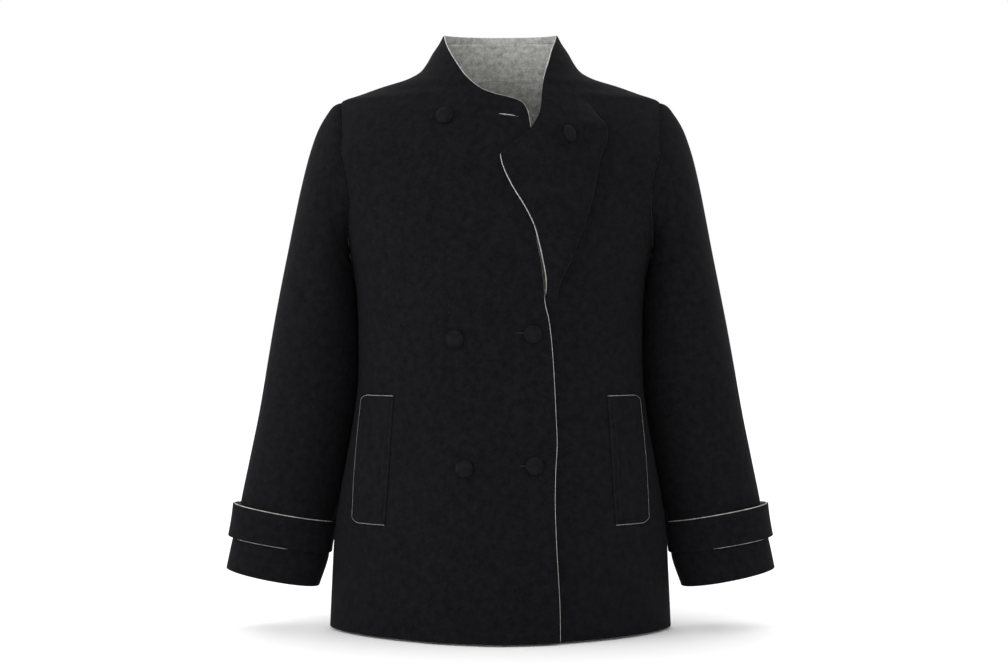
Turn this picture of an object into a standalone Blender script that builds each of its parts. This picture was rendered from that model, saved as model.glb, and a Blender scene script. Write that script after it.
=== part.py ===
"""Short double-breasted wool coat with a stand collar, filled out as it is when worn.

Metres, +Z up, the front faces -Y and the wearer's right is -X. The origin is the middle of the
neck's base, where the wearer's shoulders carry the coat. Each cut piece is one closed cloth wall:
a sheet worked out as a function of two numbers, u across the piece and v up it, moved inwards by
the cloth's thickness. The tables are in millimetres, a row for each section, ring or course.
"""

import math

import bpy
import numpy as np
from mathutils import Vector

MM = 0.001

# Cloth and seams
CLOTH = 2.4
SEAM_GAP = 0.3
SEWN_GAP = 0.45
LAID_GAP = 0.7
LAYER_LIFT = 3.3

# Landmarks up the body
UNDERARM = -215.0
SHOULDER_POINT = -30.0
NECK_POINT = 5.0
COLLAR_SIDE = 50.0
COLLAR_BACK_RISE = 9.0

# Armhole
ARMHOLE_FRONT = 64.0
ARMHOLE_BACK = 58.0
ARMHOLE_BLUNTNESS = 0.75
ARMHOLE_HEIGHTS = (-215, -209, -201, -188, -167, -141, -115, -91, -70, -53, -40, -30)

# The pleat that lets the wearer's left collar corner fall open
PLEAT_INNER_RADIUS = 0.55
PLEAT_OUTER_RADIUS = 2.85

# Covered buttons, cuff straps and pocket welts
BUTTON_RADIUS = 10.6
BUTTON_HEIGHT = 7.4
BUTTON_SIDES = 14
STRAP_TOP_RING = 14.38
STRAP_BOTTOM_RING = 15.66
STRAP_STAND_OFF = (6.2, 3.5)
WELT_CORNER = 11.0

# Mesh density
FRONT_COLUMNS = 13
BACK_COLUMNS = 20
COLLAR_COLUMNS = 16
COLLAR_ROWS = 5
STRAP_ROWS = 3
WELT_COLUMNS = 8
WELT_ROWS = 8


def table(columns, *rows):
    """Return rows of numbers as one array for each named column."""
    return dict(zip(columns.split(), np.array(rows, dtype=float).T))


BODY = table(
    "height half_width front back roundness",
    (-668, 208.0, 146, 127, 1.62),
    (-610, 205.2, 145, 124, 1.74),
    (-560, 202.6, 142, 120, 1.84),
    (-510, 196.0, 138, 115, 1.93),
    (-460, 187.0, 133, 108, 2.03),
    (-410, 178.5, 128, 101, 2.06),
    (-370, 173.7, 125, 96, 2.10),
    (-340, 172.8, 124, 94, 2.12),
    (-300, 173.0, 126, 95, 2.14),
    (-250, 176.6, 130, 100, 2.18),
    (-215, 183.0, 131, 105, 2.24),
    (-190, 187.5, 130, 107, 2.30),
    (-160, 194.5, 128, 108, 2.30),
    (-130, 206.0, 123, 107, 2.28),
    (-100, 214.0, 116, 103, 2.20),
    (-60, 204.0, 107, 95, 1.90),
    (-30, 194.0, 99, 85, 1.55),
    (-21, 170.0, 96, 81, 1.50),
    (-12, 144.6, 94, 77, 1.55),
    (-3, 114.2, 91, 73, 1.70),
    (5, 98.6, 88, 70, 1.90),
    (14, 91.0, 84, 67, 2.00),
    (28, 83.0, 76, 64, 2.00),
    (40, 75.0, 70, 62, 2.00),
    (52, 69.0, 62, 60, 2.00),
    (62, 65.0, 57, 58, 2.00),
)

# The wearer's right front, which closes over the left: its outer end up the side seam, armhole,
# shoulder and collar seam, and its free edge up the front and round the collar.
RIGHT_COURSES = table(
    "outer_height edge_height edge_x",
    (-668, -668, 68.4),
    (-630, -630, 67.8),
    (-590, -590, 65.8),
    (-550, -550, 63.8),
    (-510, -510, 62.8),
    (-475, -475, 63.4),
    (-440, -440, 65.2),
    (-405, -405, 63.8),
    (-370, -370, 62.2),
    (-340, -340, 60.4),
    (-315, -315, 58.2),
    (-295, -295, 55.6),
    (-278, -278, 51.4),
    (-260, -260, 48.4),
    (-240, -240, 45.4),
    (-215, -215, 42.6),
    (-209, -209, 42.1),
    (-201, -201, 41.6),
    (-188, -188, 41.0),
    (-167, -167, 40.0),
    (-141, -141, 39.0),
    (-115, -115, 38.0),
    (-91, -91, 37.0),
    (-70, -71, 35.8),
    (-53, -54, 33.2),
    (-46, -48.0, 30.9),
    (-40, -43.2, 27.6),
    (-35, -39.6, 22.0),
    (-30, -36.6, 13.0),
    (-24, -32.8, -3.0),
    (-18, -28.5, -15.5),
    (-12, -21.5, -27.0),
    (-5, -13.0, -36.5),
    (0, -6.0, -42.5),
    (5, 1.5, -47.6),
    (14, 12.0, -54.0),
    (26, 25.0, -61.0),
    (38, 37.5, -66.4),
    (50, 49.5, -70.3),
)

# The wearer's left front: its hidden edge below the break, then the free edge of the fallen
# collar corner. fold_x, fold_turn (degrees) and reach say where its cloth doubles back on itself.
LEFT_COURSES = table(
    "height edge_x fold_x fold_turn reach edge_lift",
    (-668, -60.0, 50.0, 0, 0, 0),
    (-625, -60.0, 50.0, 0, 0, 0),
    (-580, -60.0, 50.0, 0, 0, 0),
    (-535, -60.0, 50.0, 0, 0, 0),
    (-490, -60.0, 50.0, 0, 0, 0),
    (-445, -60.0, 50.0, 0, 0, 0),
    (-405, -60.0, 50.0, 0, 0, 0),
    (-370, -59.5, 50.5, 0, 0, 0),
    (-345, -57.0, 51.5, 0, 0, 0),
    (-325, -48.0, 53.0, 0, 0, 0),
    (-310, -28.0, 54.5, 0, 0, 0),
    (-298, 4.0, 56.0, 0, 0, 0),
    (-289, 30.0, 57.5, 0, 0, 0),
    (-281, 46.0, 58.5, 0, 0, 0),
    (-273, 52.2, 60.0, 15, 0, 0),
    (-264, 53.4, 63.5, 60, 0, 0.4),
    (-254, 53.5, 68.0, 110, 1, 0.9),
    (-242, 52.9, 73.0, 150, 4, 1.5),
    (-228, 50.4, 80.0, 172, 10, 2.2),
    (-215, 47.0, 85.5, 180, 16, 2.8),
    (-209, 45.3, 88.0, 180, 18, 3.1),
    (-201, 42.9, 91.0, 180, 20, 3.4),
    (-188, 38.8, 95.8, 180, 23, 3.7),
    (-167, 28.5, 102.5, 180, 26, 3.9),
    (-141, 12.6, 109.0, 180, 28, 3.9),
    (-122, 3.6, 112.6, 180, 28, 3.9),
    (-112, 0.4, 114.6, 180, 28, 3.9),
    (-105, -0.6, 117.0, 180, 27, 3.9),
    (-98, 5.6, 120.0, 180, 26, 3.9),
    (-91, 14.5, 122.8, 180, 23, 3.9),
    (-83, 25.2, 124.0, 180, 18, 3.9),
    (-76, 33.2, 123.0, 178, 13, 3.9),
    (-70, 38.0, 120.4, 162, 7, 3.8),
    (-62, 42.4, 115.6, 135, 3, 3.5),
    (-53, 45.9, 109.2, 98, 1, 3.0),
    (-46, 47.3, 103.8, 68, 0, 2.5),
    (-40, 47.9, 98.8, 42, 0, 2.2),
    (-30, 48.7, 91.0, 14, 0, 1.6),
    (-24, 49.2, 87.0, 0, 0, 1.3),
    (-18, 49.8, 84.0, 0, 0, 1.0),
    (-12, 50.6, 81.5, 0, 0, 0.8),
    (-5, 52.2, 79.0, 0, 0, 0.6),
    (0, 53.6, 78.0, 0, 0, 0.5),
    (5, 55.2, 77.0, 0, 0, 0.4),
    (14, 57.9, 76.5, 0, 0, 0.2),
    (26, 61.4, 75.5, 0, 0, 0),
    (38, 65.9, 73.2, 0, 0, 0),
    (50, 69.9, 70.1, 0, 0, 0),
)

BACK_HEIGHTS = (
    *(-668, -625, -580, -535, -490, -445, -400, -355, -310, -270, -240),
    *ARMHOLE_HEIGHTS,
    *(-24, -18, -12, -5, 0, 5),
)

# Rings down a sleeve: outer and under points seen from the front, half depth and middle's depth
SLEEVE_RINGS = table(
    "outer_x outer_height under_x under_height half_depth middle",
    (-194.2, -30.2, -183.3, -214.7, 61, -3),
    (-203.0, -34.5, -184.8, -216.2, 62, -2),
    (-212.2, -46.0, -184.9, -220.6, 63, 0),
    (-222.0, -63.0, -183.4, -228.0, 64, 3),
    (-231.2, -88.0, -181.2, -238.0, 65, 6),
    (-238.2, -112.0, -179.0, -248.0, 66, 8),
    (-244.7, -138.0, -177.2, -258.0, 66, 10),
    (-251.7, -172.0, -175.6, -272.0, 66, 11),
    (-259.4, -212.0, -174.1, -292.0, 66, 12),
    (-268.8, -259.0, -173.1, -319.0, 65, 12),
    (-278.2, -307.0, -173.3, -351.0, 63, 12),
    (-286.8, -356.0, -175.7, -389.0, 60, 12),
    (-296.0, -410.0, -182.3, -433.0, 57, 11),
    (-306.5, -462.0, -191.0, -480.0, 54, 10),
    (-316.4, -509.0, -201.6, -524.5, 51, 10),
    (-321.8, -538.0, -205.6, -554.0, 49, 9),
    (-328.6, -567.0, -209.2, -583.0, 48, 8),
    (-333.6, -594.5, -221.2, -617.0, 47, 8),
)
CAP_RINGS = 5.0

# Pocket welts: the sewn inner line and the free outer edge, down from the top
WELT_LINES = table(
    "along inner_x outer_x",
    (0.00, 124.0, 168.0),
    (0.30, 127.0, 171.0),
    (0.65, 130.0, 173.0),
    (1.00, 134.0, 174.5),
)
WELT_TOP = -385.0
WELT_BOTTOM = -534.0

# Covered buttons: the sheet that carries each, where it sits, and how far it is turned aside
BUTTONS = (
    ("button_top_right", "right", -64.6, -58.0, 0),
    ("button_top_left", "flap", 81.8, -79.0, 32),
    ("button_middle_right", "right", -52.3, -318.0, 0),
    ("button_middle_left", "right", 37.2, -312.5, 0),
    ("button_low_right", "right", -41.7, -467.5, 0),
    ("button_low_left", "right", 40.0, -464.5, 0),
)

COLOURS = {
    "wool": (0.011, 0.011, 0.013),
    "button": (0.009, 0.009, 0.010),
}
ROUGHNESS = 0.92


def curve(key, value, at):
    """Return a smooth curve through (key, value) that never swings past its points."""
    at = np.asarray(at, dtype=float)
    step = np.diff(key)
    slope = np.diff(value) / step
    near, far = 2 * step[1:] + step[:-1], step[1:] + 2 * step[:-1]
    steady = slope[1:] * slope[:-1] > 0
    safe = np.where(steady, slope[1:], 1), np.where(steady, slope[:-1], 1)
    inner = np.where(steady, (near + far) / (near / safe[1] + far / safe[0]), 0)
    tangent = np.concatenate([slope[:1], inner, slope[-1:]])
    k = np.clip(np.searchsorted(key, at, side="right") - 1, 0, len(step) - 1)
    t = (at - key[k]) / step[k]
    s = np.clip(t, 0, 1)
    shape = (
        value[k] * (1 + 2 * s) * (1 - s) ** 2
        + tangent[k] * step[k] * s * (1 - s) ** 2
        + value[k + 1] * s * s * (3 - 2 * s)
        + tangent[k + 1] * step[k] * s * s * (s - 1)
    )
    past = np.where(t < 0, tangent[k], tangent[k + 1]) * step[k] * (t - s)
    return shape + past


def read(data, column, at):
    """Return a table's column at course numbers, smooth between the rows."""
    return curve(np.arange(len(data[column]), dtype=float), data[column], at)


def ease(value, start, end):
    """Return 0 before start and 1 after end, with a soft step between."""
    t = np.clip((value - start) / (end - start), 0, 1)
    return t * t * (3 - 2 * t)


def section(height):
    """Return the body section's half width, front and back depth and roundness."""
    columns = ("half_width", "front", "back", "roundness")
    return [curve(BODY["height"], BODY[name], height) for name in columns]


def body_point(side, turn, height):
    """Return points of the coat's body: turn 90 degrees is the front, 0 the side, -90 the back."""
    half_width, front, back, roundness = section(height)
    power = 2 / roundness
    x = side * half_width * np.sign(np.cos(turn)) * np.abs(np.cos(turn)) ** power
    depth = np.where(turn > 0, front, back)
    y = -depth * np.sign(np.sin(turn)) * np.abs(np.sin(turn)) ** power
    return np.stack(np.broadcast_arrays(x, y, height), axis=-1)


def body_frame(side, turn, height):
    """Return the body's points, the unit direction round it, outward normals and mm per radian.

    Beside the side and shoulder seams a normal has no y, so that the two walls' rims are parallel.
    """
    step_turn, step_height = 0.001, 0.5
    round_it = body_point(side, turn + step_turn, height) - body_point(side, turn - step_turn, height)
    up_it = body_point(side, turn, height + step_height) - body_point(side, turn, height - step_height)
    normal = side * np.cross(up_it, round_it)
    normal /= np.linalg.norm(normal, axis=-1, keepdims=True)
    points = body_point(side, turn, height)
    normal[..., 1] *= np.abs(points[..., 1]) > SEAM_GAP
    length = np.linalg.norm(round_it, axis=-1, keepdims=True)
    return points, round_it / length, normal, length[..., 0] / (2 * step_turn)


def turn_at_x(side, x, height):
    """Return the turn at which the front of the body has this x."""
    half_width, _, _, roundness = section(height)
    share = np.clip(side * x / half_width, -1, 1)
    return np.arccos(np.sign(share) * np.abs(share) ** (roundness / 2))


def turn_at_depth(depth, height, facing):
    """Return the turn at which the body is this deep, in front (facing 1) or behind (-1)."""
    _, front, back, roundness = section(height)
    share = np.clip(depth / np.where(facing > 0, front, back), 0, 1)
    return facing * np.arcsin(share ** (roundness / 2))


def armhole_depth(height, facing):
    """Return the armhole's half depth: an egg, narrow at the shoulder and blunt below."""
    along = np.clip((SHOULDER_POINT - height) / (SHOULDER_POINT - UNDERARM), 0, 1)
    widest = np.where(facing > 0, ARMHOLE_FRONT, ARMHOLE_BACK)
    return widest * np.sin(math.pi * along) ** ARMHOLE_BLUNTNESS * (0.9 + 0.25 * along)


def seam_turn(height, facing):
    """Return the turn of a panel's outer end, at the side seam, armhole or shoulder seam."""
    depth = np.maximum(armhole_depth(height, facing), SEAM_GAP / 2)
    return turn_at_depth(depth, height, facing)


def armhole_edge(side, facing, height):
    """Return the armhole's edge, straight between the heights that panels and sleeve share."""
    heights = np.array(ARMHOLE_HEIGHTS, dtype=float)
    corners = body_point(side, seam_turn(heights, facing), heights)
    return np.stack([np.interp(height, heights, corners[:, axis]) for axis in range(3)], axis=-1)


def to_armhole(points, side, facing, height, outer_turn, near):
    """Return points drawn to the shared armhole edge where near is 1."""
    inside = (height > UNDERARM) & (height < SHOULDER_POINT)
    miss = armhole_edge(side, facing, height) - body_point(side, outer_turn, height)
    return points + np.where(inside, near, 0)[..., None] * miss


def right_lift(x, height):
    """Return how far the right front rises to lie over the left front."""
    return LAYER_LIFT * ease(x, -112, -68) * ease(-height, 205, 278)


def right_front(u, v):
    """Return the right front's outer points and normals, u from the seams to the free edge."""
    outer = read(RIGHT_COURSES, "outer_height", v)
    edge = read(RIGHT_COURSES, "edge_height", v)
    outer_turn = seam_turn(outer, 1)
    edge_turn = turn_at_x(-1, read(RIGHT_COURSES, "edge_x", v), edge)
    height = outer + (edge - outer) * u
    turn = outer_turn + (edge_turn - outer_turn) * u
    points, _, normals, _ = body_frame(-1, turn, height)
    lift = right_lift(points[..., 0], height)
    points = points + lift[..., None] * normals
    return to_armhole(points, -1, 1, outer, outer_turn, (1 - u) ** 4), normals


def pleat(along, fold_turn, reach):
    """Return how far a doubled-back stretch of cloth has gone inwards and up, and its direction.

    The cloth turns up by fold_turn on a tight bend, runs straight for reach, and turns back on a
    wider one. along is 0 to 1 on the first bend, 1 to 2 on the straight and 2 to 3 on the second.
    """
    angle = np.maximum(fold_turn, 1e-4)
    tight = PLEAT_INNER_RADIUS * math.pi / angle
    wide = PLEAT_OUTER_RADIUS * math.pi / angle
    first = angle * np.clip(along, 0, 1)
    run = reach * np.clip(along - 1, 0, 1)
    last = angle * (1 - np.clip(along - 2, 0, 1))
    inwards = tight * np.sin(first) + run * np.cos(angle) + wide * (np.sin(angle) - np.sin(last))
    up = tight * (1 - np.cos(first)) + run * np.sin(angle) + wide * (np.cos(last) - np.cos(angle))
    return inwards, up, np.where(along < 1, first, last)


def left_front(u, v):
    """Return the left front's outer points and normals.

    u runs 0 to 1 from the seams to the pleat, 1 to 4 through the pleat, and 4 to 5 from there to
    the free edge of the collar corner that lies over the right front.
    """
    height = read(LEFT_COURSES, "height", v)
    outer_turn = seam_turn(height, 1)
    edge_turn = turn_at_x(1, read(LEFT_COURSES, "edge_x", v), height)
    fold = turn_at_x(1, read(LEFT_COURSES, "fold_x", v), height)
    angle = np.radians(np.clip(read(LEFT_COURSES, "fold_turn", v), 0, 180))
    reach = np.maximum(read(LEFT_COURSES, "reach", v), 0)
    scale = body_frame(1, fold, height)[3]
    whole, rise, _ = pleat(3.0 + 0 * u, angle, reach)
    overhang = (reach / 2 + PLEAT_OUTER_RADIUS) * (1 - np.cos(angle)) / 2
    start = np.maximum(fold + (overhang - whole / 2) / scale, outer_turn)
    end = np.minimum(start + whole / scale, edge_turn)
    inwards, up, direction = pleat(np.clip(u - 1, 0, 3), angle, reach)
    before = outer_turn + (start - outer_turn) * u
    after = end + (edge_turn - end) * (u - 4)
    fit = (end - start) * scale / np.where(whole > 0, whole, 1)
    within = start + inwards * np.where(angle < 1, fit, 1) / scale
    turn = np.where(u < 1, before, np.where(u > 4, after, within))
    direction = np.where((u < 1) | (u > 4), 0, direction)
    edge_lift = read(LEFT_COURSES, "edge_lift", v)
    top_lift = rise + (edge_lift - rise) * ease(u, 4, 5)
    lift = np.where(u < 1, 0, np.where(u > 4, top_lift, up))
    points, round_it, normals, _ = body_frame(1, turn, height)
    points = points + lift[..., None] * normals
    facing = np.cos(direction)[..., None] * normals - np.sin(direction)[..., None] * round_it
    return to_armhole(points, 1, 1, height, outer_turn, np.clip(1 - u, 0, 2) ** 4), facing


def back(u, v):
    """Return the back's outer points and normals, u from the right side seam to the left."""
    rows = np.array(BACK_HEIGHTS, dtype=float)
    height = curve(np.arange(len(rows), dtype=float), rows, v)
    outer_turn = seam_turn(height, -1)
    turn = outer_turn + (-math.pi - 2 * outer_turn) * u
    points, _, normals, _ = body_frame(-1, turn, height)
    points = to_armhole(points, -1, -1, height, outer_turn, np.clip(1 - 2 * u, 0, 1) ** 4)
    return to_armhole(points, 1, -1, height, outer_turn, np.clip(2 * u - 1, 0, 1) ** 4), normals


def collar_back(u, v):
    """Return the back collar's outer points and normals; its top edge is highest behind."""
    ends = turn_at_depth(SEAM_GAP / 2, NECK_POINT, -1)
    turn = ends + (-math.pi - 2 * ends) * u
    top = COLLAR_SIDE + COLLAR_BACK_RISE * np.sin(turn) ** 2
    height = NECK_POINT + SEAM_GAP + (top - NECK_POINT - SEAM_GAP) * v
    points, _, normals, _ = body_frame(-1, turn, height)
    return points, normals


def ring(t, v):
    """Return a sleeve ring's point: t 0 is the outer side, 90 degrees the front, 180 the under side."""
    outer = np.stack([read(SLEEVE_RINGS, name, v) for name in ("outer_x", "outer_height")], axis=-1)
    under = np.stack([read(SLEEVE_RINGS, name, v) for name in ("under_x", "under_height")], axis=-1)
    share = ((1 + np.cos(t)) / 2)[..., None]
    flat = under + (outer - under) * share
    y = read(SLEEVE_RINGS, "middle", v) - read(SLEEVE_RINGS, "half_depth", v) * np.sin(t)
    return np.stack([flat[..., 0], y, flat[..., 1]], axis=-1)


def armhole_loop():
    """Return the wearer's right armhole as a closed loop, from the shoulder down the front."""
    heights = np.array(ARMHOLE_HEIGHTS[::-1], dtype=float)
    front = armhole_edge(-1, 1, heights)
    rear = armhole_edge(-1, -1, heights[::-1])
    front[[0, -1], 1] = 0
    return np.concatenate([front, rear[1:-1]])


def ring_turns():
    """Return the ring angles that match the armhole loop's corners."""
    heights = np.array(ARMHOLE_HEIGHTS[::-1], dtype=float)
    middle = (SHOULDER_POINT + UNDERARM) / 2
    down = np.arccos(np.clip((heights - middle) / (SHOULDER_POINT - middle), -1, 1))
    return np.concatenate([down, 2 * math.pi - down[-2:0:-1]])


def sleeve_points(turns, v):
    """Return the right sleeve's outer points, whose first ring is sewn to the armhole."""
    t, rows = np.meshgrid(turns, v)
    points = ring(t, rows)
    loop = armhole_loop()
    outwards = np.stack([0 * turns - 1, 0 * turns, -0.3 * np.cos(turns)], axis=-1)
    outwards[:, 2] = np.where(np.cos(turns) < -0.95, 1.0, outwards[:, 2])
    wanted = loop + SEAM_GAP * outwards
    miss = wanted - ring(turns, 0 * turns)
    fade = np.clip(1 - rows / CAP_RINGS, 0, 1) ** 2
    return points + fade[..., None] * miss


def grid_normals(points, closed):
    """Return unit normals of a grid of points, whose columns may run round a closed ring."""
    if closed:
        across = np.roll(points, -1, axis=1) - np.roll(points, 1, axis=1)
    else:
        across = np.gradient(points, axis=1)
    along = np.gradient(points, axis=0)
    normal = np.cross(across, along)
    return normal / np.linalg.norm(normal, axis=-1, keepdims=True)


def material(name, colour):
    """Return a plain Principled material of the part's colour."""
    made = bpy.data.materials.new(name)
    made.use_nodes = True
    shader = made.node_tree.nodes["Principled BSDF"]
    shader.inputs["Base Color"].default_value = (*colour, 1.0)
    shader.inputs["Roughness"].default_value = ROUGHNESS
    shader.inputs["Metallic"].default_value = 0.0
    return made


def solid(name, points, faces, colour="wool"):
    """Add one closed body to the scene, from points in millimetres."""
    mesh = bpy.data.meshes.new(name)
    mesh.from_pydata((np.asarray(points) * MM).tolist(), [], faces)
    mesh.validate()
    mesh.shade_smooth()
    mesh.set_sharp_from_angle(angle=math.radians(40))
    made = bpy.data.objects.new(name, mesh)
    mesh.materials.append(material(name, COLOURS[colour]))
    bpy.context.collection.objects.link(made)
    return made


def wall_faces(rows, columns, closed):
    """Return the faces of a wall with an outer grid, an inner grid and rims along its edges."""
    inner = rows * columns
    across = columns if closed else columns - 1
    faces = []
    for row in range(rows - 1):
        for column in range(across):
            a = row * columns + column
            b = row * columns + (column + 1) % columns
            c, d = b + columns, a + columns
            faces += [(a, b, c), (a, c, d)]
            faces += [(inner + c, inner + b, inner + a), (inner + d, inner + c, inner + a)]
    for column in range(across):
        a, b = column, (column + 1) % columns
        c, d = a + (rows - 1) * columns, b + (rows - 1) * columns
        faces += [(b, a, inner + a, inner + b), (c, d, inner + d, inner + c)]
    if not closed:
        for row in range(rows - 1):
            a, b = row * columns, (row + 1) * columns
            c, d = a + columns - 1, b + columns - 1
            faces += [(a, b, inner + b, inner + a), (d, c, inner + c, inner + d)]
    return faces


def wall(name, outer, inner, closed=False, flip=False):
    """Add a cloth wall between an outer and an inner grid of points."""
    rows, columns = outer.shape[:2]
    faces = wall_faces(rows, columns, closed)
    if flip:
        faces = [face[::-1] for face in faces]
    return solid(name, np.concatenate([outer.reshape(-1, 3), inner.reshape(-1, 3)]), faces)


def sheet_wall(name, sheet, u_values, v_values, flip=False):
    """Add a cut piece from its sheet function and the numbers its grid runs through."""
    u, v = np.meshgrid(np.array(u_values, dtype=float), np.array(v_values, dtype=float))
    points, normals = sheet(u, v)
    return wall(name, points, points - CLOTH * normals, flip=flip)


def build_fronts_and_back():
    """Add the two fronts, the back and the back collar."""
    courses = np.arange(len(RIGHT_COURSES["edge_x"]))
    sheet_wall("front_right", right_front, np.linspace(0, 1, FRONT_COLUMNS + 1), courses)
    columns = np.concatenate([
        np.linspace(0, 1, 9),
        (1.5, 2.0, 3.0, 3.25, 3.5, 3.75, 4.0),
        np.linspace(4, 5, 5)[1:],
    ])
    sheet_wall("front_left", left_front, columns, np.arange(len(LEFT_COURSES["height"])), flip=True)
    rows = np.arange(len(BACK_HEIGHTS))
    sheet_wall("back", back, np.linspace(0, 1, BACK_COLUMNS + 1), rows, flip=True)
    across = np.linspace(0, 1, COLLAR_COLUMNS + 1)
    sheet_wall("collar_back", collar_back, across, np.linspace(0, 1, COLLAR_ROWS + 1), flip=True)


def build_sleeves():
    """Add both sleeves and the straps round their cuffs."""
    turns = ring_turns()
    outer = sleeve_points(turns, np.arange(len(SLEEVE_RINGS["middle"]), dtype=float))
    normals = -grid_normals(outer, closed=True)
    inner = outer - CLOTH * normals
    inner[0] += 0.25 * (outer[1] - outer[0])
    strap_v = np.linspace(STRAP_TOP_RING, STRAP_BOTTOM_RING, STRAP_ROWS + 1)
    strap = sleeve_points(turns, strap_v)
    strap_normals = -grid_normals(strap, closed=True)
    outermost = np.linspace(*STRAP_STAND_OFF, STRAP_ROWS + 1)
    stand_off = LAID_GAP + outermost[:, None] * ((1 + np.cos(turns)) / 2) ** 3
    strap_inner = strap + stand_off[..., None] * strap_normals
    strap_outer = strap_inner + CLOTH * strap_normals
    mirror = np.array([-1, 1, 1])
    for side, sign, flip in (("right", np.ones(3), True), ("left", mirror, False)):
        wall("sleeve_" + side, outer * sign, inner * sign, closed=True, flip=flip)
        wall("cuff_strap_" + side, strap_outer * sign, strap_inner * sign, closed=True, flip=flip)


def build_welts():
    """Add a pocket welt on each front, with its free outer corners rounded."""
    across, down = np.meshgrid(np.linspace(0, 1, WELT_COLUMNS + 1), np.linspace(0, 1, WELT_ROWS + 1))
    inner_x = curve(WELT_LINES["along"], WELT_LINES["inner_x"], down)
    outer_x = curve(WELT_LINES["along"], WELT_LINES["outer_x"], down)
    x = inner_x + (outer_x - inner_x) * across
    into_corner = np.clip((x - outer_x) / WELT_CORNER + 1, 0, 1)
    cut = WELT_CORNER * (1 - np.sqrt(1 - 0.98 * into_corner**2))
    height = WELT_TOP - cut + (WELT_BOTTOM - WELT_TOP + 2 * cut) * down
    for side, sign, flip in (("right", -1, False), ("left", 1, True)):
        points, _, normals, _ = body_frame(sign, turn_at_x(sign, sign * x, height), height)
        inner = points + LAID_GAP * normals
        wall("pocket_welt_" + side, inner + CLOTH * normals, inner, flip=flip)


def seat_on(sheet, u_values, v_count, x, height):
    """Return the point of a sheet nearest to this x and height, and its normal."""
    u, v = np.meshgrid(u_values, np.linspace(0, v_count - 1, 8 * v_count))
    points, normals = sheet(u, v)
    nearest = np.argmin((points[..., 0] - x) ** 2 + (points[..., 2] - height) ** 2)
    return points.reshape(-1, 3)[nearest], normals.reshape(-1, 3)[nearest]


def build_button(name, seat, normal):
    """Add a domed, cloth-covered button that sits on the cloth at seat."""
    around = np.arange(BUTTON_SIDES) * 2 * math.pi / BUTTON_SIDES
    profile = ((0.80, 0.0), (0.97, 0.16), (1.0, 0.34), (0.88, 0.68), (0.5, 0.93))
    rings = [
        np.stack([share * BUTTON_RADIUS * np.cos(around), share * BUTTON_RADIUS * np.sin(around),
                  0 * around + rise * BUTTON_HEIGHT], axis=-1)
        for share, rise in profile
    ]
    local = np.concatenate([[(0, 0, 0)], *rings, [(0, 0, BUTTON_HEIGHT)]])
    faces = [(0, 1 + (k + 1) % BUTTON_SIDES, 1 + k) for k in range(BUTTON_SIDES)]
    for row in range(len(profile) - 1):
        low, high = 1 + row * BUTTON_SIDES, 1 + (row + 1) * BUTTON_SIDES
        for k in range(BUTTON_SIDES):
            n = (k + 1) % BUTTON_SIDES
            faces.append((low + k, low + n, high + n, high + k))
    last, top = 1 + (len(profile) - 1) * BUTTON_SIDES, len(local) - 1
    faces += [(top, last + k, last + (k + 1) % BUTTON_SIDES) for k in range(BUTTON_SIDES)]
    turned = np.array(Vector((0, 0, 1)).rotation_difference(Vector(normal)).to_matrix())
    solid(name, local @ turned.T + seat, faces, "button")


def build_buttons():
    """Add the six buttons on the fronts that carry them."""
    sheets = {
        "right": (right_front, np.linspace(0, 1, 161), len(RIGHT_COURSES["edge_x"])),
        "flap": (left_front, np.linspace(4, 5, 81), len(LEFT_COURSES["height"])),
    }
    for name, carrier, x, height, aside in BUTTONS:
        seat, normal = seat_on(*sheets[carrier], x, height)
        tilt = math.radians(aside)
        cos, sin = math.cos(tilt), math.sin(tilt)
        axis = np.array([cos * normal[0] - sin * normal[1], sin * normal[0] + cos * normal[1], normal[2]])
        clear = SEWN_GAP + 0.8 * BUTTON_RADIUS * sin
        build_button(name, seat + clear * normal, axis)


def main():
    """Clear the scene and build the coat."""
    for old in list(bpy.data.objects):
        bpy.data.objects.remove(old, do_unlink=True)
    build_fronts_and_back()
    build_sleeves()
    build_welts()
    build_buttons()


main()
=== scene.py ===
"""Short double-breasted wool coat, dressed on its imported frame.

Each cut piece is a shell of double-faced cloth: a black outer face, a light grey inner face, and a
rim that is worked out for the way its border is finished. All shapes are functions of two numbers,
u across a piece and v up it, taken on whole grids. Sizes are in millimetres until a mesh is made.
"""

from __future__ import annotations

import enum
import logging
import math
from collections.abc import Callable, Sequence
from dataclasses import dataclass

import bpy
import numpy as np
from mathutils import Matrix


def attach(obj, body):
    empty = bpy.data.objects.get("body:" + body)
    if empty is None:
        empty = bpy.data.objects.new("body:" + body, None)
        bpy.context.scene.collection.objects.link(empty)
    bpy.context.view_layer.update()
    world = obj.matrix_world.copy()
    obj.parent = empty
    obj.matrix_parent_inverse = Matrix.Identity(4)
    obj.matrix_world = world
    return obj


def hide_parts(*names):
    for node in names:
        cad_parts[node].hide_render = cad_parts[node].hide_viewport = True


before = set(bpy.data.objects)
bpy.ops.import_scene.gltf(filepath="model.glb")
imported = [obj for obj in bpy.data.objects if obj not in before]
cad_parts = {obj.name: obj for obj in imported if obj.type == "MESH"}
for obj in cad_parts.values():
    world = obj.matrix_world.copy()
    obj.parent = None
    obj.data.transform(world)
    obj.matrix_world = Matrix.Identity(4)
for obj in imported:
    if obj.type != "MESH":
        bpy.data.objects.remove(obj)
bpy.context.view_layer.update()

LOG = logging.getLogger("coat")
MM = 0.001
CLOTH = 2.4  # the cloth's thickness
LAID_GAP = 0.7  # how far a piece that is laid on another stays off it
SEAM_OVERLAP = 0.06  # how far a border reaches past its seam line, so that no light shows through
BREAK = (-276.0, -262.0)  # the heights between which the collar corner breaks open
TRIAL_PLACES = 500  # how finely a course is measured before its places are spread
TRIAL_COURSES = 1500  # how finely a line up a sheet is measured before its courses are
BODY_NAME = "root"

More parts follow.
